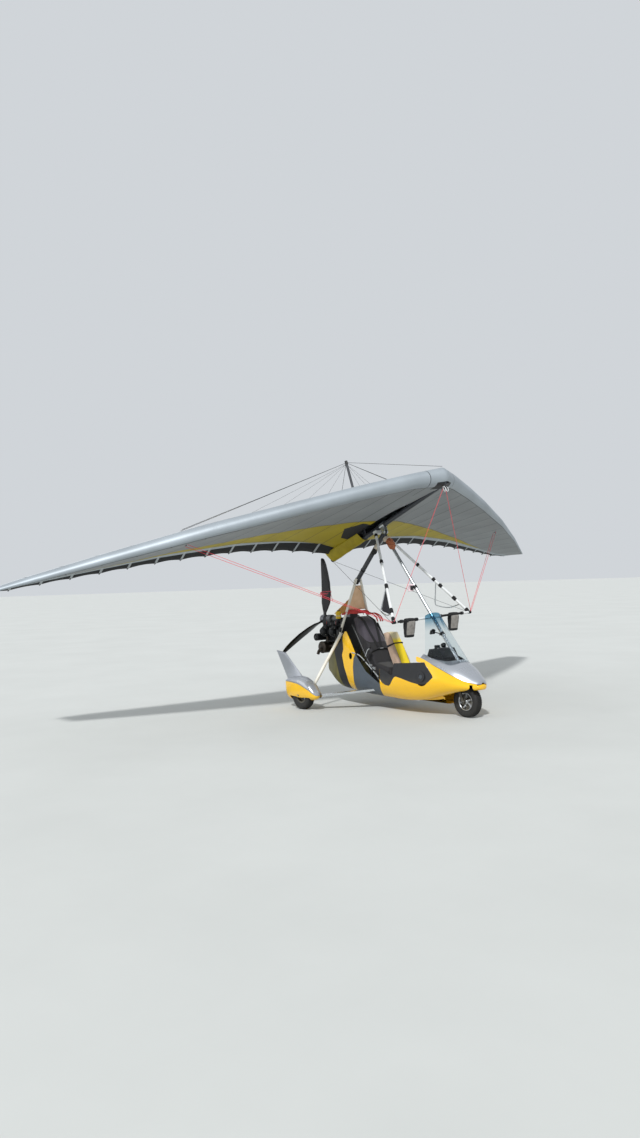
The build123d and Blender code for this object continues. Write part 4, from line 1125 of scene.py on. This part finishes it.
# Bands on each upright, from and to a share of its length
port_bands = ((0.02, 0.05), (0.4, 0.425), (0.58, 0.61), (0.655, 0.69), (0.81, 0.85), (0.955, 0.99))
starboard_bands = ((0.02, 0.05), (0.33, 0.365), (0.6, 0.65), (0.86, 0.91), (0.95, 0.99))
parts = []
for side, bands in ((1, port_bands), (-1, starboard_bands)):
    for share, end_share in bands:
        low, high = up_the_tube(share, side), up_the_tube(end_share, side)
        line = [low, low.lerp(high, 0.15), low.lerp(high, 0.85), high]
        parts += made_of(foam_black, tube(line, [19, 22.5, 22.5, 19], sides=20))
        lug = low.lerp(high, 0.5) + Vector((0, 0, 0.02))
        parts += made_of(black_paint, block(lug, (20, 34, 12)))
    start, end = up_the_tube(0.62, side), up_the_tube(0.9, side)
    bend = start + Vector((-60, side * 42, -280)) / 1000
    line = [start, start.lerp(bend, 0.5), bend, bend + Vector((30, side * 18, -38)) / 1000,
            bend.lerp(end, 0.55) + Vector((0, 0, -0.052)), end]
    parts += made_of(anodised_tube, tube(curve_through(line, 6), 7.5))
build("upright_fittings", parts, "wing", "wing_tubes")

mesh_cloth = finish_of("black_mesh_bag", "#101114", "#2a2d33", 0.85, patch=8, grain=3.0, bump=0.9)
start, end = up_the_tube(0.63, -1), up_the_tube(0.93, -1)
corner = up_the_tube(0.62, -1) + Vector((-56, -38, -300)) / 1000
rings = []
for t in spaced(0, 1, 13):
    spine = start.lerp(end, t) + Vector((-0.006, 0, 0))
    rim = start.lerp(corner, min(1, t * 1.25)) if t < 0.8 else corner.lerp(end, (t - 0.8) / 0.4)
    middle = spine.lerp(rim, 0.55)
    half = (rim - spine) * 0.47
    bulge = 22 * sin(pi * t) ** 0.7 / 1000
    rings.append([middle + cos(a) * half + sin(a) * bulge * Vector((0.35, -0.93, 0.0))
                  for a in turns(16)])
bag = build("mesh_bag", made_of(mesh_cloth, capped(rings)), "wing", "seat_cloth", sharp=80)

# The rigging: steel wires to the kingpost and, in red safety sleeves, to the base bar, with tangs
# at the outer ends. The side wires are doubled; thin reflex lines run from the kingpost to the
# trailing edge.
red_sleeve = finish_of("red_polyethylene_sleeve", "#e8404e", "#d23a48", 0.45, patch=40)
wire = finish_of("galvanised_steel_wire", "#6f7173", "#55575a", 0.45, metallic=0.9, patch=10)
post_x = -196


def stay(start, end, radius, sides=6):
    """A straight wire between two places on the wing."""
    return tube([on_wing(*start), on_wing(*end)], radius, sides=sides)


def on_table(y, column):
    """One column of the sail's table at a distance out."""
    return float(np.interp(y, sail_table[:, 0], sail_table[:, column]))


parts = []
for side in (-1, 1):
    # below: the side wires, the nose wire and the tail wire; above: the side wires, reflex lines
    for gap in (-9, 9):
        parts += made_of(red_sleeve, stay((bar_x + gap, side * 708, bar_z),
                                          (-310 + 3 * gap, side * 2750, -7), 2.7))
    parts += made_of(red_sleeve, stay((bar_x + 20, side * 697, -1385), (1212, side * 14, -42), 2.6))
    parts += made_of(wire, stay((bar_x - 20, side * 700, -1384), (-1040, side * 12, -36), 2.4))
    for gap in (-10, 10):
        parts += made_of(wire, stay((post_x, 0, 1066), (-328 + 2 * gap, side * 2750, 190), 2.6))
    for y, x in ((660, -1030), (1320, -1052), (1980, -1120), (2640, -1230)):
        hem = (x, side * y, on_table(y, 5) + 8)
        parts += made_of(wire, stay((post_x - 6, 0, 1050), hem, 1.4, 5))
    parts += made_of(steel, block(on_wing(-310, side * 2750, -4), (34, 8, 16)),
                     block(on_wing(1212, side * 14, -38), (34, 8, 16)))
# from the kingpost to the nose and to the tail of the keel, and a white ring at each nose tang
for x, z in ((1290, 196), (-1050, 40)):
    parts += made_of(wire, stay((post_x, 0, 1070), (x, 0, z), 2.6))
for side in (-1, 1):
    loop = [on_wing(1222 + 16 * cos(a), side * 24, -70 + 34 * sin(a))
            for a in spaced(0, 2 * pi, 21)]
    parts += made_of(white_tube, tube(loop, 3.2, sides=6, caps=False))
build("rigging_wires", parts, "wing", "steel_pins", "stays")
wing_up = on_wing(0, 0, 1) - on_wing(0, 0, 0)
cap_profile = [(0.5, 8), (16, 6), (20, 0), (20, -30), (17, -34)]
parts = made_of(black_paint, tube([on_wing(-198, 0, 1040), on_wing(-194, 0, 1092)], 20, sides=20),
                turned(cap_profile, on_wing(-194, 0, 1085), wing_up, 20))
build("kingpost_head", parts, "wing", "wing_tubes")

# The battens' tips: black nylon ends that stand out of the trailing edge at every seam
wing_back = (on_wing(-1, 0, 0) - on_wing(0, 0, 0)).normalized()
spots = [(on_wing(on_table(batten_gap * k, 4) - 6, side * batten_gap * k,
                  on_table(batten_gap * k, 5) + 1), wing_back, (0, 1, 0))
         for side in (-1, 1) for k in range(1, 14)]
repeat_block("batten_tips", spots, (6.5, 6.5, 34), foam_black, "wing", "bar_cover", round_sides=8)

# The engine: a flat four with finned barrels and rocker covers, two carburettors with cone
# filters, a silencer on four pipes, a starter, rubber hoses and plug leads. Cast parts are dark.
cast_case = finish_of("black_coated_engine_casting", "#1b1c1e", "#292a2c", 0.5, metallic=0.35,
                      patch=25, grain=1.5, bump=0.5)
cast_alloy = finish_of("sand_cast_aluminium", "#77797b", "#5d5e60", 0.5, metallic=0.8, patch=20,
                       grain=1.2, bump=0.5)
pipe_steel = finish_of("heat_stained_exhaust_steel", "#3b3733", "#574d44", 0.45, metallic=0.75,
                       patch=45)
filter_cloth = finish_of("oiled_filter_gauze", "#151516", "#262627", 0.8, patch=10, grain=1.5,
                         bump=0.9)
rubber = finish_of("black_rubber_hose", "#131314", "#1d1d1e", 0.62, patch=20, grain=1.2, bump=0.3)
red_lead = finish_of("red_silicone_lead", "#9c2a22", "#84231d", 0.55, patch=20)
dress(cast_case, "crankcase", "cylinders")
dress(cast_alloy, "carburettors")
dress(pipe_steel, "exhaust")


def piped(spots, radius, sides, steps=7):
    """A smooth hose through places given in millimetres."""
    return tube(curve_through([at(*p) for p in spots], steps), radius, sides=sides)


barrels, crank_z = (-290, -100), 960
silencer_x, silencer_z = -330, 739.7
parts = []
for side in (-1, 1):
    way = (0, side, 0)
    for cx in barrels:
        # rocker cover with its rim, and two plug caps with their leads
        cover = [(0.5, 27), (30, 26), (40, 21), (47.5, 12), (49, 2), (46.5, -2)]
        parts += made_of(cast_case, turned(cover, at(cx, side * 279, crank_z), way, 40))
        for dx in (26, -26):
            plug = at(cx + dx, side * 214, crank_z + 62)
            tip = plug + Vector((0, side * 8, 30)) / 1000
            coil = at(-235 + dx, side * 44, 1098)
            lead = [tip, plug + Vector((0, side * 2, 74)) / 1000,
                    plug.lerp(coil, 0.6) + Vector((0, 0, 0.07)), coil]
            parts += made_of(rubber, tube([plug, tip], 8))
            lead_rubber = red_lead if dx > 0 else rubber
            parts += made_of(lead_rubber, tube(curve_through(lead, 6), 3.6, sides=7))
    # cone filter skirts and fuel bowls
    skirt = [(44, 0), (53.5, 3), (53.5, 10), (50, 12), (43, 78), (36, 86), (0.5, 88)]
    bowl = [(30, 0), (31, -26), (25, -38), (8, -41), (0.5, -41)]
    parts += made_of(filter_cloth, turned(skirt, at(-180, side * 182, 1132), (-1, 0, 0), 36))
    parts += made_of(cast_alloy, turned(bowl, at(-120, side * 170, 1096), (0, 0, 1), 28))
    # water hose from each side's barrels to the header, and the oil line under the case
    water = ((-195, side * 150, 1036), (-150, side * 165, 1076), (-70, side * 120, 1090),
             (-44, side * 60, 1090))
    oil = ((-330, side * 120, 846), (-352, side * 168, 822), (-300, side * 214, 812),
           (-120, side * 208, 838), (-60, side * 128, 850))
    parts += made_of(rubber, piped(water, 13, 12), piped(oil, 8, 9))
# starter with its nut, the gearbox's two flanges, the silencer's ends and bands, and the tail pipe
starter = at(-413, -298, 879)
parts += made_of(cast_case, turned([(0.5, 6), (38, 5), (50.6, 0), (50.6, -12), (47, -14)], starter,
                                   (0, -1, 0), 36))
parts += made_of(steel, turned([(0.5, 16), (15, 15), (17, 9), (17, 4)], starter, (0, -1, 0), 6))
parts += made_of(cast_alloy,
                 turned([(58.6, 0), (66, 3), (66, 22), (58.6, 26)], at(-505, 0, 1040), (-1, 0, 0)),
                 turned([(90, 0), (102, 4), (102, 34), (92, 46), (74, 50)], at(-452, 0, 980),
                        (-1, 0, 0), 60))
for side in (-1, 1):
    end_cap = [(81.5, 0), (83, 6), (81, 14), (70, 20), (0.5, 22)]
    band = [(80.6, -13), (83.2, -13), (83.2, 13), (80.6, 13)]
    parts += made_of(pipe_steel, turned(end_cap, at(silencer_x, side * 252, silencer_z),
                                        (0, side, 0)))
    parts += made_of(bolt_steel, turned(band, at(silencer_x, side * 120, silencer_z), (0, 1, 0)))
tail_pipe = ((-330, -262, 720), (-330, -290, 716), (-352, -302, 690), (-372, -304, 650))
parts += made_of(pipe_steel, piped(tail_pipe, 21, 18, steps=6))
build("engine_fittings", parts, "trike", "engine_alloy")
spots = [(at(cx + 64 * cos(a), side * 262, crank_z + 64 * sin(a)), (0, side, 0), (1, 0, 0))
         for side in (-1, 1) for cx in barrels for a in spaced(pi / 4, 2 * pi + pi / 4, 5)[:-1]]
spots += [(at(-453, 92 * cos(a), 980 + 92 * sin(a)), (-1, 0, 0), (0, 1, 0)) for a in turns(12)]
spots += [(at(cx, side * 121, z), (0, side, 0), (1, 0, 0)) for side in (-1, 1) for z in (862, 1052)
          for cx in (-380, -300, -200, -90)]
repeat_block("engine_studs", spots, (5.0, 5.0, 14), bolt_steel, "trike", "engine_alloy",
             round_sides=6)

# The header bottle: yellow blown polythene in a steel band, with a screw cap and an overflow hose
bottle_yellow = finish_of(
    "yellow_blown_polythene", "#d9b400", "#caa602", 0.4, patch=40,
    extra={"Subsurface Weight": 0.15, "Subsurface Radius": (0.01, 0.006, 0.002)})
profile = [(0.5, -54.5), (18, -54), (29, -49), (34, -40), (36, -28), (36, -3), (34.6, -1),
           (34.6, 1), (36, 3), (36, 26), (33.5, 39), (26, 48), (16, 52), (12, 53)]
screw_cap = [(12.4, 50), (15, 50.5), (15, 61), (13, 63.5), (0.5, 64)]
steel_band = [(36.2, -18), (38, -18), (38, -8), (36.2, -8)]
bottle_at, straight_up = at(34, -262, 1187.3), (0, 0, 1)
overflow = ((34, -246, 1234), (20, -225, 1245), (-10, -206, 1216), (-22, -205, 1150),
            (-30, -150, 1096))
parts = made_of(bottle_yellow, turned(profile, bottle_at, straight_up, 40))
parts += made_of(rubber, turned(screw_cap, bottle_at, straight_up, 24))
parts += made_of(bolt_steel, turned(steel_band, bottle_at, straight_up, 40))
parts += made_of(rubber, piped(overflow, 5, 8, steps=6))
build("header_bottle", parts, "trike", "yellow_shell", "coolant_bottle")

# The hood over the header tank: stiff amber cloth stretched from the mast's legs to a point; a
# beige panel closes the triangle between the legs below the mast.
amber_cloth = finish_of("amber_coated_nylon", "#b57a18", "#9c6a1c", 0.6, patch=70, grain=1.5,
                        bump=0.5)
beige_cloth = finish_of("beige_coated_nylon", "#e2bd98", "#d5ae88", 0.68, patch=90, grain=1.5,
                        bump=0.5)
hood = remade("hood_cloth", "top_cowl", 0.004)
reshape(hood, "SMOOTH", iterations=10, factor=0.5)
coords, normals = read_points(hood.data), read_points(hood.data, "normal")
x, y, z = coords.T
ripple = np.sin(x * 90 + z * 55) * np.sin(y * 70) * 0.0016 + np.sin(z * 160 + y * 40) * 0.0008
coords = coords + normals * ripple[:, None] + normals * 0.001
hood.data.vertices.foreach_set("co", coords.astype(np.float32).ravel())
hood.data.materials.append(amber_cloth)
hood.data.shade_smooth()
fit(hood, "trike", "hood_cloth", "top_cowl")
low, high, strands = 0.14, 0.58, 13
rows_here = []
for t in spaced(low, high, 12):
    # the panel is laced to the two legs and sags a little between them
    left = at(73 + 77 * (1 - t), -(36 + 249 * t) + 16, 1677 - 735 * t)
    sag = 14 * sin(pi * (t - low) / (high - low))
    rows_here.append([
        Vector((left.x + (8 - sag * sin(pi * u)) / 1000, left.y * (1 - 2 * u), left.z))
        for u in spaced(0, 1, strands)])
leg_panel = link_mesh("leg_panel", [p for row in rows_here for p in row],
                      grid(len(rows_here), strands), [beige_cloth], sharp=80)
reshape(leg_panel, "SOLIDIFY", thickness=0.0025, offset=0.0)
fit(leg_panel, "trike", "hood_cloth")

# The tie-down strap: a hank of red webbing thrown over the engine mount and the rear seat's top
red_webbing = finish_of("red_polyester_webbing", "#d8504c", "#c2433f", 0.65, patch=15, grain=1.5,
                        bump=0.7)
parts = []
# Lanes of the hank: its ends' distance out, its lift and its shift
lanes = ((-262, 150, 10, 0), (-240, 195, 22, 9), (-215, 120, 30, -8), (-180, 235, 12, 14),
         (-140, 175, 38, -14), (-250, 60, 44, 5))
for lane, (y0, y1, lift, shift) in enumerate(lanes):
    line = [at(100 + shift, y0, 1192), at(125 + shift, y0 * 0.6, 1198 + lift),
            at(150, (y0 + y1) / 2, 1192 + lift), at(172 - shift, y1 * 0.7, 1196 + lift * 0.8),
            at(182, y1, 1178)]
    across = (0.5, 0.3 * (-1) ** lane, 0.8)
    parts += made_of(red_webbing, strap(curve_through(line, 7), 20, 2.2, across))
for y, end_y in ((96, 170), (130, 225), (160, 262)):
    line = [at(182, y, 1186), at(236, (y + end_y) / 2, 1196), at(300, end_y, 1150),
            at(330, end_y + 10, 1080)]
    parts += made_of(red_webbing, strap(curve_through(line, 7), 20, 2.2, (0.2, 0.9, 0.1)))
build("red_tie_down_strap", parts, "trike", "hood_cloth")

# The instruments: black moulded binnacle with round dials in bezels, a display, switches, a compass
# on the coaming and a phone holder on the strut. Faces carry plain marks only.
dial_card, tree, shader = blank("dial_card")
spread = put(tree, "ShaderNodeUVMap", uv_map="dial")
axes = put(tree, "ShaderNodeSeparateXYZ", {"Vector": spread}).outputs
ticks = put(tree, "ShaderNodeMath", {0: axes["X"], 1: 24.0}, operation="MULTIPLY")
beat = put(tree, "ShaderNodeMath", {0: ticks}, operation="FRACT")
# 24 marks in a ring near the rim, and one hand
inked = paint(tree, "#141517", ("#e9eaea", 1.0, (beat, -1, 0.22), (axes["Y"], 0.74, 0.93)),
              ("#e9eaea", 1.0, (axes["X"], 0.602, 0.638), (axes["Y"], -1, 0.7)))
feed(shader, {"Roughness": 0.45, "Base Color": inked})
display_glass = finish_of("display_glass", "#2b3f4c", "#22333f", 0.12, patch=60)
gloss_black = finish_of("black_gloss_plastic", "#0d0e10", "#151618", 0.18, patch=60, spread=0.05)
face_way = Vector((-0.86, 0, 0.5))
up_way = Vector((0.5, 0, 0.86))
panel_middle = at(wheelbase - 447, 0, 742)
rim = 36


def on_panel(y, high):
    """A place on the instrument panel, in millimetres out and up from its middle."""
    return panel_middle + Vector((0, y / 1000, 0)) + up_way * (high / 1000)


cards, card_faces, card_marks, parts = [], [], [], []
facing = face_way.normalized()
side_way = facing.cross(Vector((0, 0, 1))).normalized()
card_up = side_way.cross(facing)
for y, high, radius in ((-128, 14, 29), (-62, 16, 40), (20, 16, 40), (96, 22, 29), (150, 8, 22),
                        (96, -42, 24), (-128, -48, 24)):
    centre = on_panel(y, high)
    first = len(cards)
    card_faces += [(first, first + i + 1, first + i + 2) for i in range(rim)]
    cards.append(centre + facing * 0.002)
    card_marks.append((0.0, 0.0))
    for i in range(rim + 1):
        a = 2 * pi * i / rim
        cards.append(cards[first] + (cos(a) * side_way + sin(a) * card_up) * radius / 1000)
        card_marks.append((i / rim, 1.0))
    bezel = [(radius - 1, 1), (radius - 1, 6), (radius + 2, 8), (radius + 6, 5), (radius + 6, -4)]
    parts += made_of(gloss_black, turned(bezel, centre, facing, rim))
face_turn = facing.to_track_quat("Z", "Y")
for y, size, coat in ((-20, (96, 58, 8), gloss_black), (-20, (84, 46, 12), display_glass),
                      (160, (40, 30, 8), gloss_black)):
    parts += made_of(coat, block(on_panel(y, -46), size, face_turn))
for y in (50, 66, 134, -100, -84):
    lever = on_panel(y, -52)
    parts += made_of(bolt_steel, tube([lever, lever + face_way * 0.022], [4.2, 2.4]))
# compass ball in its cup on the coaming, and a small camera beside it
cup = [(0.5, 50), (13, 47), (22, 40), (27, 28), (28, 16), (24, 4), (30, 2), (31, -4), (22, -10)]
ball = [(0.5, 46), (16, 42), (24, 30), (26, 18)]
lens = [(0.5, 12), (9, 11), (11, 8), (12, 0)]
parts += made_of(gloss_black, turned(cup, at(wheelbase - 372, 30, 806), (0, 0, 1), 30),
                 block(at(wheelbase - 388, -70, 815), (44, 62, 34)))
parts += made_of(display_glass, turned(ball, at(wheelbase - 378, 30, 806), (-0.6, 0, 0.8), 24),
                 turned(lens, at(wheelbase - 366, -70, 816), (1, 0, 0.1), 20))
for y in (-165, 170):
    vent = [(4, 10), (20, 10), (24, 5), (25, -4)]
    parts += made_of(rubber, turned(vent, at(wheelbase - 330, y, 690), (-0.5, 0, 0.86), 24))
build("instruments", parts, "trike", "dark_shell")
cards_piece = link_mesh("dial_cards", cards, card_faces, [dial_card], sharp=60)
lay_uv(cards_piece, "dial", card_marks)
fit(cards_piece, "trike", "dark_shell")

# On the strut: a phone holder on a clamp at the pilot's height, and a pink and white safety tag
def collar(centre, way, reach, radius, sides):
    """A short tube round another, as far either way from its centre as its reach; sizes in mm."""
    return tube([centre - way * reach / 1000, centre + way * reach / 1000], radius, sides=sides)


strut_high, strut_low = at(739, 0, 2186), at(1893, 0, 652)
strut_way = (strut_low - strut_high).normalized()
clamp = strut_high.lerp(strut_low, 0.795)
tag = strut_high.lerp(strut_low, 0.425)
arm = [clamp + Vector(p) / 1000 for p in ((-20, -16, 0), (-50, -50, 12), (-90, -75, 20))]
rod = [clamp + Vector(p) / 1000 for p in ((0, -50, -12), (-12, 60, -12))]
holder_turn = Vector((-0.9, 0, 0.3)).to_track_quat("X", "Z")
tag_turn = Vector((0.9, -0.4, 0)).to_track_quat("X", "Z")
parts = made_of(rubber, collar(clamp, strut_way, 18, 25.5, 24),
                collar(tag, strut_way, 20, 24.5, 24),
                block(tag + Vector((-0.012, -0.052, -0.006)), (10, 38, 54), tag_turn))
parts += made_of(gloss_black, tube(arm, 6), block(arm[-1], (14, 82, 52), holder_turn),
                 block(arm[-1] + Vector((0.012, 0.0, 0.03)), (22, 30, 16)), tube(rod, 8))
build("strut_clamps", parts, "trike", "dark_shell")
pink_tag = finish_of("pink_and_white_nylon_tag", "#efc3cd", "#f1e9ea", 0.6, patch=9, grain=1.0,
                     bump=0.3)
tag_points = [tag + Vector((-22 + 6 * sin(5 * u + 3 * t), -16 - 94 * u, -50 + 88 * t)) / 1000
              for t in spaced(0, 1, 9) for u in spaced(0, 1, 9)]
tag_piece = link_mesh("safety_tag", tag_points, grid(9, 9), [pink_tag], sharp=80)
reshape(tag_piece, "SOLIDIFY", thickness=0.0016)
fit(tag_piece, "trike", "hood_cloth")

# Rolled covers strapped at the top of the strut and of the mast: brown, off-white and black
brown_cloth = finish_of("brown_cotton_cover", "#b9714c", "#8f5238", 0.85, patch=22, grain=2.0,
                        bump=0.9)
white_cloth = finish_of("off_white_cotton_cover", "#d9cfc0", "#b3a592", 0.85, patch=20, grain=2.0,
                        bump=0.9)


def bundle(centre, way, length, radius, seed):
    """A crumpled roll of cloth, round in its section and gathered at its ends."""
    way = Vector(way).normalized()
    across = way.orthogonal().normalized()
    other = way.cross(across)
    rings = []
    for t in spaced(0, 1, 17):
        swell = radius * (0.28 + 0.72 * sin(pi * t) ** 0.55) if 0 < t < 1 else radius * 0.28
        ring = []
        for a in turns(28):
            fold = 1 + 0.13 * sin(5 * a + seed + 9 * t) + 0.09 * sin(9 * a - 13 * t + seed)
            fold += 0.06 * sin(17 * t + 3 * a)
            ring.append(centre + way * (t - 0.5) * length / 1000
                        + (cos(a) * across + sin(a) * other) * swell * fold / 1000)
        rings.append(ring)
    return capped(rings)


head = strut_high + strut_way * 0.06
front, back = Vector((0.03, -0.02, 0)), Vector((0.012, -0.02, 0))
# Material, centre, way, length, radius and seed of each roll
rolls = (
    (brown_cloth, head + strut_way * 0.05 + front, strut_way, 175, 46, 0.4),
    (white_cloth, head - strut_way * 0.03 + back, (0.4, 0.8, 0.1), 110, 36, 2.1),
    (white_cloth, at(588, -44, 2062), (0.5, -0.1, 0.8), 120, 30, 3.0),
    (rubber, at(560, -52, 2015), (0.6, 0.1, 0.75), 110, 32, 5.0),
)
parts = [(*bundle(*roll), cloth) for cloth, *roll in rolls]
build("rolled_covers", parts, "trike", "hood_cloth", sharp=80)

# The cockpit's trim: a black moulded liner turned over the pod's edge, its line swept down to the
# front of the rear seat, a flush yellow panel behind it, a round vent, polished rails along the
# side panels and rubber beads round the deck's opening.
def side_trim(name, outline, material, proud, start, end):
    """A 2 mm panel laid on the hull's outside, cut to an outline drawn in side view."""
    rings = []
    for x in spaced(start, end, 48):
        row = list(ease_table(front_table, x))
        for column in (2, 4, 6):
            row[column] += proud
        row[1] -= proud
        rings.append(hull_ring(row))
    panel = skin(name, rings, material, 0.002)
    return trim(panel, outline, -500, 500, "INTERSECT")


swept_line = [(863, 398), (905, 352), (960, 328), (1024, 321), (1062, 350), (1100, 405),
              (1130, 436), (1160, 446), (1250, 431), (1433, 393), (1530, 379), (1608, 382),
              (1680, 410), (1751, 472)]
liner_top = [(1738, 500), (1654, 592), (1624, 643), (1123, 606), (1104, 520), (1090, 452),
             (980, 488), (863, 535)]
liner = side_trim("cockpit_side_liner", swept_line + liner_top, black_moulding, 1.6, 862, 1760)
fit(liner, "trike", "dark_shell")
filler_line = [(x, z + 1) for x, z in swept_line[5:11]] + [(1530, 340), (1300, 318), (1100, 318)]
filler = side_trim("pod_side_filler", filler_line, yellow_coat, 0.9, 1090, 1540)
fit(filler, "trike", "yellow_shell")
parts = []
vent_rim = [(24, 2), (30, 7), (52, 8), (60, 5), (62, 0), (62, -6)]
for side in (-1, 1):
    vent, way = at(1579, side * 321, 472), (0, side, 0.12)
    parts += made_of(black_moulding, turned(vent_rim, vent, way, 44))
    parts += made_of(slate_coat, turned([(0.5, 5), (8, 5), (10, 3), (27, 2)], vent, way, 32))
    for k in range(6):
        a = 2 * pi * k / 6
        vane = [vent + Vector((cos(a) * r, side * 0.005, sin(a) * r)) for r in (0.009, 0.028)]
        parts += made_of(black_moulding, tube(vane, 2.2, sides=6))
build("side_vents", parts, "trike", "dark_shell")
parts = []
rail_line = ((338, 303, 700), (400, 304, 690), (500, 306, 664), (640, 309, 565), (751, 310, 482),
             (838, 311, 418))
knob = [(0.5, 16), (11, 13), (14, 4), (12, -8), (7, -14)]
for side in (-1, 1):
    rail = curve_through([at(x, side * y, z) for x, y, z in rail_line], 6)
    parts += made_of(anodised_tube, tube(rail, 8.5, sides=14))
    for k in (8, 16, 23):
        way = (rail[k + 1] - rail[k]).normalized()
        parts += made_of(rubber, collar(rail[k], way, 13, 12.5, 14))
    lever = [at(560, side * 272, 660), at(600, side * 268, 742), at(640, side * 262, 770)]
    parts += made_of(steel, block(at(700, side * 312, 560), (58, 8, 20)))
    parts += made_of(anodised_tube, tube(lever, 7))
    parts += made_of(rubber, turned(knob, at(642, side * 262, 776), (0.4, 0, 0.9), 20))
    parts += made_of(steel, block(at(742, side * 296, 520), (64, 12, 34)))
build("side_rails", parts, "trike", "nose_alloy")

bead_line = [at(x, y, deck_crown(ease_table(deck_table, x), y) + 1)
             for x, y in rounded(bay) if x > n - 452]
bead_line.sort(key=lambda p: p.y)
parts = made_of(rubber, tube(bead_line, 4.5, sides=8))
for side in (-1, 1):
    creases = [ease_table(deck_table, x) for x in spaced(n - 456, n + 205, 26)]
    line = [at(x, side * (half + 1), crease + 1) for x, half, crease, _ in creases]
    parts += made_of(rubber, tube(line, 3.2, sides=8))
build("deck_beads", parts, "trike", "dark_shell")

# The chin: the pod's belly carried down behind the nose wheel as a narrow fairing
chin_rings = []
for t in spaced(0, 1, 16):
    x = 1430 + 368 * t
    _, floor_z, floor_half = ease_table(front_table, x)[:3]
    high_half, high_z = floor_half - 10, floor_z + 9
    low_half = high_half * (0.92 - 0.5 * t)
    low_z = floor_z - 1 + (143 - floor_z + 1) * t**0.9
    half = [(low_half + (high_half - low_half) * cos(a), high_z + (low_z - high_z) * sin(a))
            for a in spaced(0, pi / 2, 9)]
    chin_rings.append(both_sides(x, half + [(low_half * k, low_z) for k in (0.66, 0.33, 0.0)]))
chin = skin("nose_chin", chin_rings, yellow_coat, 0)
outward(chin.data, fill=True)
fit(chin, "trike", "yellow_shell")

# The keel pocket: a sewn yellow sleeve that carries the keel tube behind the hang point
# its yellow is the undersurface's, darkened with painted shade
pocket_cloth = finish_of("yellow_keel_pocket_cloth", "#a8960c", "#948307", 0.62, patch=120,
                         grain=2.0, bump=0.4)
pocket_half = 118
under_row = [120.0] + [on_table(120, column) for column in range(1, 8)]
under_line = sorted(drawn(under_row, [(s, h) for s, h, _ in sail_outline(under_row)[:under_count]]))
rings = []
for x in spaced(-1030, -318, 30):
    sail_z = float(np.interp(x, [p[0] for p in under_line], [p[1] for p in under_line])) - 2
    keel_z = -36.5 * (1 - 0.05 * sin(30 * x / 1000))
    across = [(y, sail_z + (keel_z - sail_z) * cos(pi / 2 * min(1, abs(y) / pocket_half)) ** 0.9)
              for y in spaced(-pocket_half, pocket_half, 25)]
    rings.append([on_wing(x, y, min(z, sail_z)) for y, z in across])
pocket = skin("keel_pocket", rings, pocket_cloth, 0)
reshape(pocket, "SOLIDIFY", thickness=0.0015)
fit(pocket, "wing", "sail_cloth")

# Fittings of the mast: rubber sleeves and steel plates where the legs join it, rubber collars at
# the legs' feet, and the black plastic end cap of the keel tube
fork_spot = at(124, 0, 1620)
mast_way = (at(711.8, 0, 2268) - fork_spot).normalized()
parts = made_of(
    rubber, tube([fork_spot - mast_way * 0.012, fork_spot + mast_way * 0.05], 36, sides=28),
    tube([fork_spot + mast_way * 0.20, fork_spot + mast_way * 0.222], 33.5, sides=28))
for side in (-1, 1):
    plate = fork_spot + mast_way * 0.02 + Vector((0, side * 0.034, 0))
    foot = at(82, side * 287, 960)
    parts += made_of(steel, block(plate, (46, 10, 30)))
    parts += made_of(rubber, tube([foot, foot + Vector((4, -side * 12, 60)) / 1000], 21, sides=22))
build("mast_fittings", parts, "trike", "dark_shell")
tail_end, nose_end = on_wing(-1060, 0, 0), on_wing(1280, 0, 0)
cap_profile = [(0.5, 9), (22, 8), (29, 2), (31.5, 0), (31.5, -16)]
end_cap = turned(cap_profile, tail_end, (tail_end - nose_end).normalized(), 32)
build("keel_end_cap", made_of(rubber, end_cap), "wing", "bar_cover")
